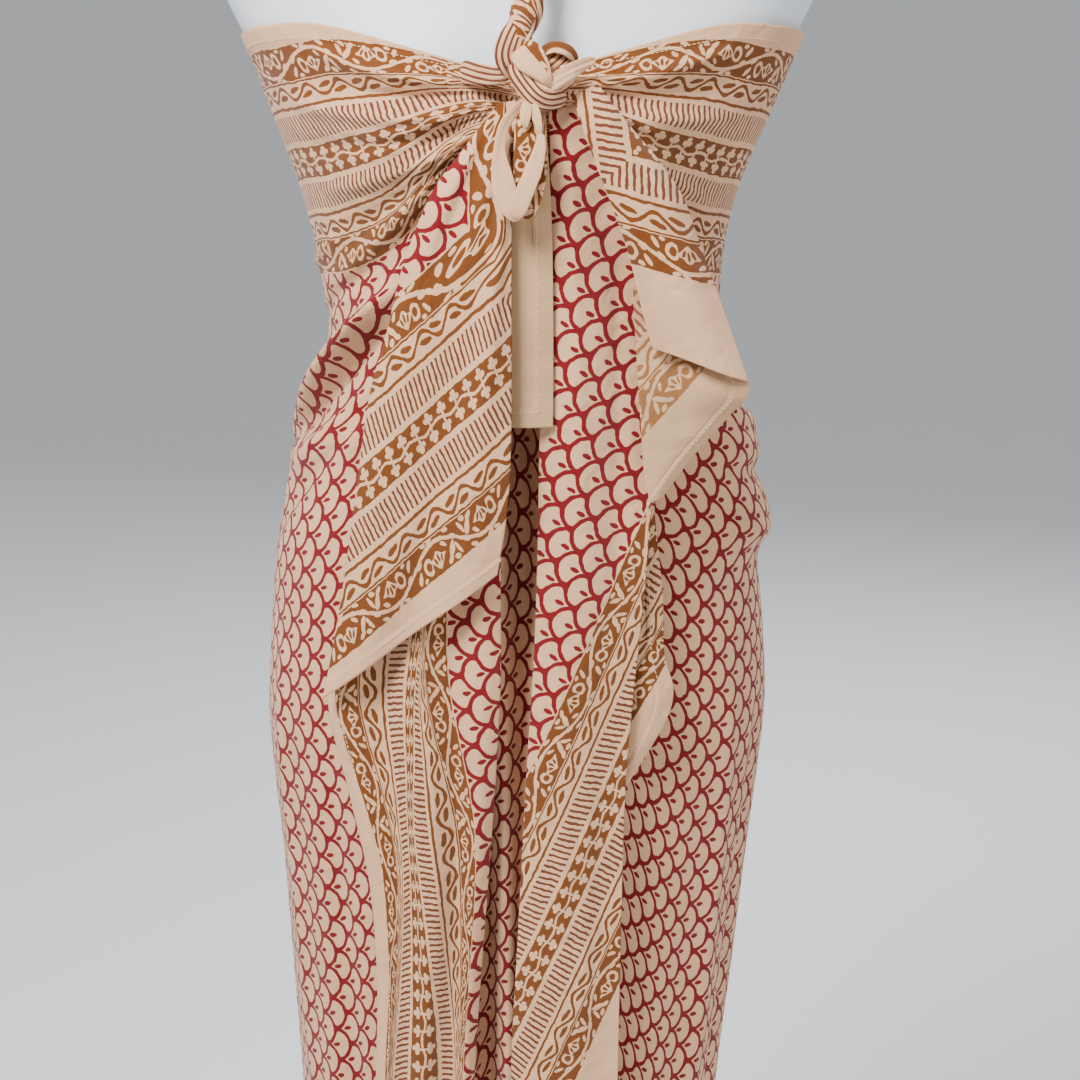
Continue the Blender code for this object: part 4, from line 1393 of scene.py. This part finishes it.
class SARONG_OT_stage(bpy.types.Operator):
    """Make the floor, the lights and the camera."""

    bl_idname = "sarong.stage"
    bl_label = "Stage"

    def execute(self, context):
        scene = context.scene
        # flat for 5 m all round, then curved up into a wall 5 m high
        rise = np.linspace(0, math.pi / 2, 14)
        reach = 5000 + 5000 * np.sin(rise)
        profile = [(0, 0), (2500, 0), *zip(reach, 5000 - 5000 * np.cos(rise))]
        make_turned("studio_floor", profile, get_material("pale_studio_paper"))
        world = bpy.data.worlds.new("studio_air")
        scene.world = world
        world.use_nodes = True
        air = world.node_tree.nodes["Background"]
        air.inputs["Color"].default_value = linear("F2F4F7")
        air.inputs["Strength"].default_value = 0.62
        for name, place, aim, size, power in (
            ("soft_front_left", (-0.95, -1.4, 2.75), (0, 0, 1.2), 0.8, 124),
            ("soft_front_right", (2.3, -1.7, 2.3), (0, 0, 1.1), 1.6, 34),
            ("soft_behind", (0.8, 2.4, 2.6), (0, 0, 1.0), 1.8, 90),
        ):
            light = bpy.data.lights.new(name, "AREA")
            light.size = size
            light.energy = power
            lamp = bpy.data.objects.new(name, light)
            context.collection.objects.link(lamp)
            lamp.location = place
            x, y, z = (a - b for a, b in zip(aim, place))
            lamp.rotation_euler = (math.atan2(math.hypot(x, y), -z), 0, math.atan2(-x, y))
        view = bpy.data.cameras.new("camera")
        view.lens = 2200 / 1080 * 36
        view.sensor_width = 36
        view.shift_x = 20 / 1080
        camera = bpy.data.objects.new("camera", view)
        context.collection.objects.link(camera)
        camera.location = (0, -1.475, 1.30)
        camera.rotation_euler = (math.radians(76), 0, 0)
        scene.camera = camera
        return {"FINISHED"}


class SARONG_PT_panel(bpy.types.Panel):
    """Lists the pieces in the sidebar."""

    bl_label = "Sarong"
    bl_space_type = "VIEW_3D"
    bl_region_type = "UI"
    bl_category = "Sarong"

    def draw(self, context):
        settings = context.scene.sarong
        for name in ("cloth_thickness", "wrap_columns", "stitch_length", "form_tint"):
            self.layout.prop(settings, name)
        for piece in PIECES:
            self.layout.operator(piece.bl_idname)


PIECES = (
    SARONG_OT_form,
    SARONG_OT_wrap,
    SARONG_OT_falls,
    SARONG_OT_knot,
    SARONG_OT_halter,
    SARONG_OT_stage,
)
CLASSES = (SarongSettings, *PIECES, SARONG_PT_panel)


def register():
    for cls in CLASSES:
        bpy.utils.register_class(cls)
    bpy.types.Scene.sarong = PointerProperty(type=SarongSettings)


def unregister():
    del bpy.types.Scene.sarong
    for cls in reversed(CLASSES):
        bpy.utils.unregister_class(cls)


def main():
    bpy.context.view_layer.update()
    register()
    bpy.ops.sarong.form()
    bpy.ops.sarong.wrap()
    bpy.ops.sarong.falls()
    bpy.ops.sarong.knot()
    bpy.ops.sarong.halter()
    bpy.ops.sarong.stage()


if __name__ == "__main__":
    main()
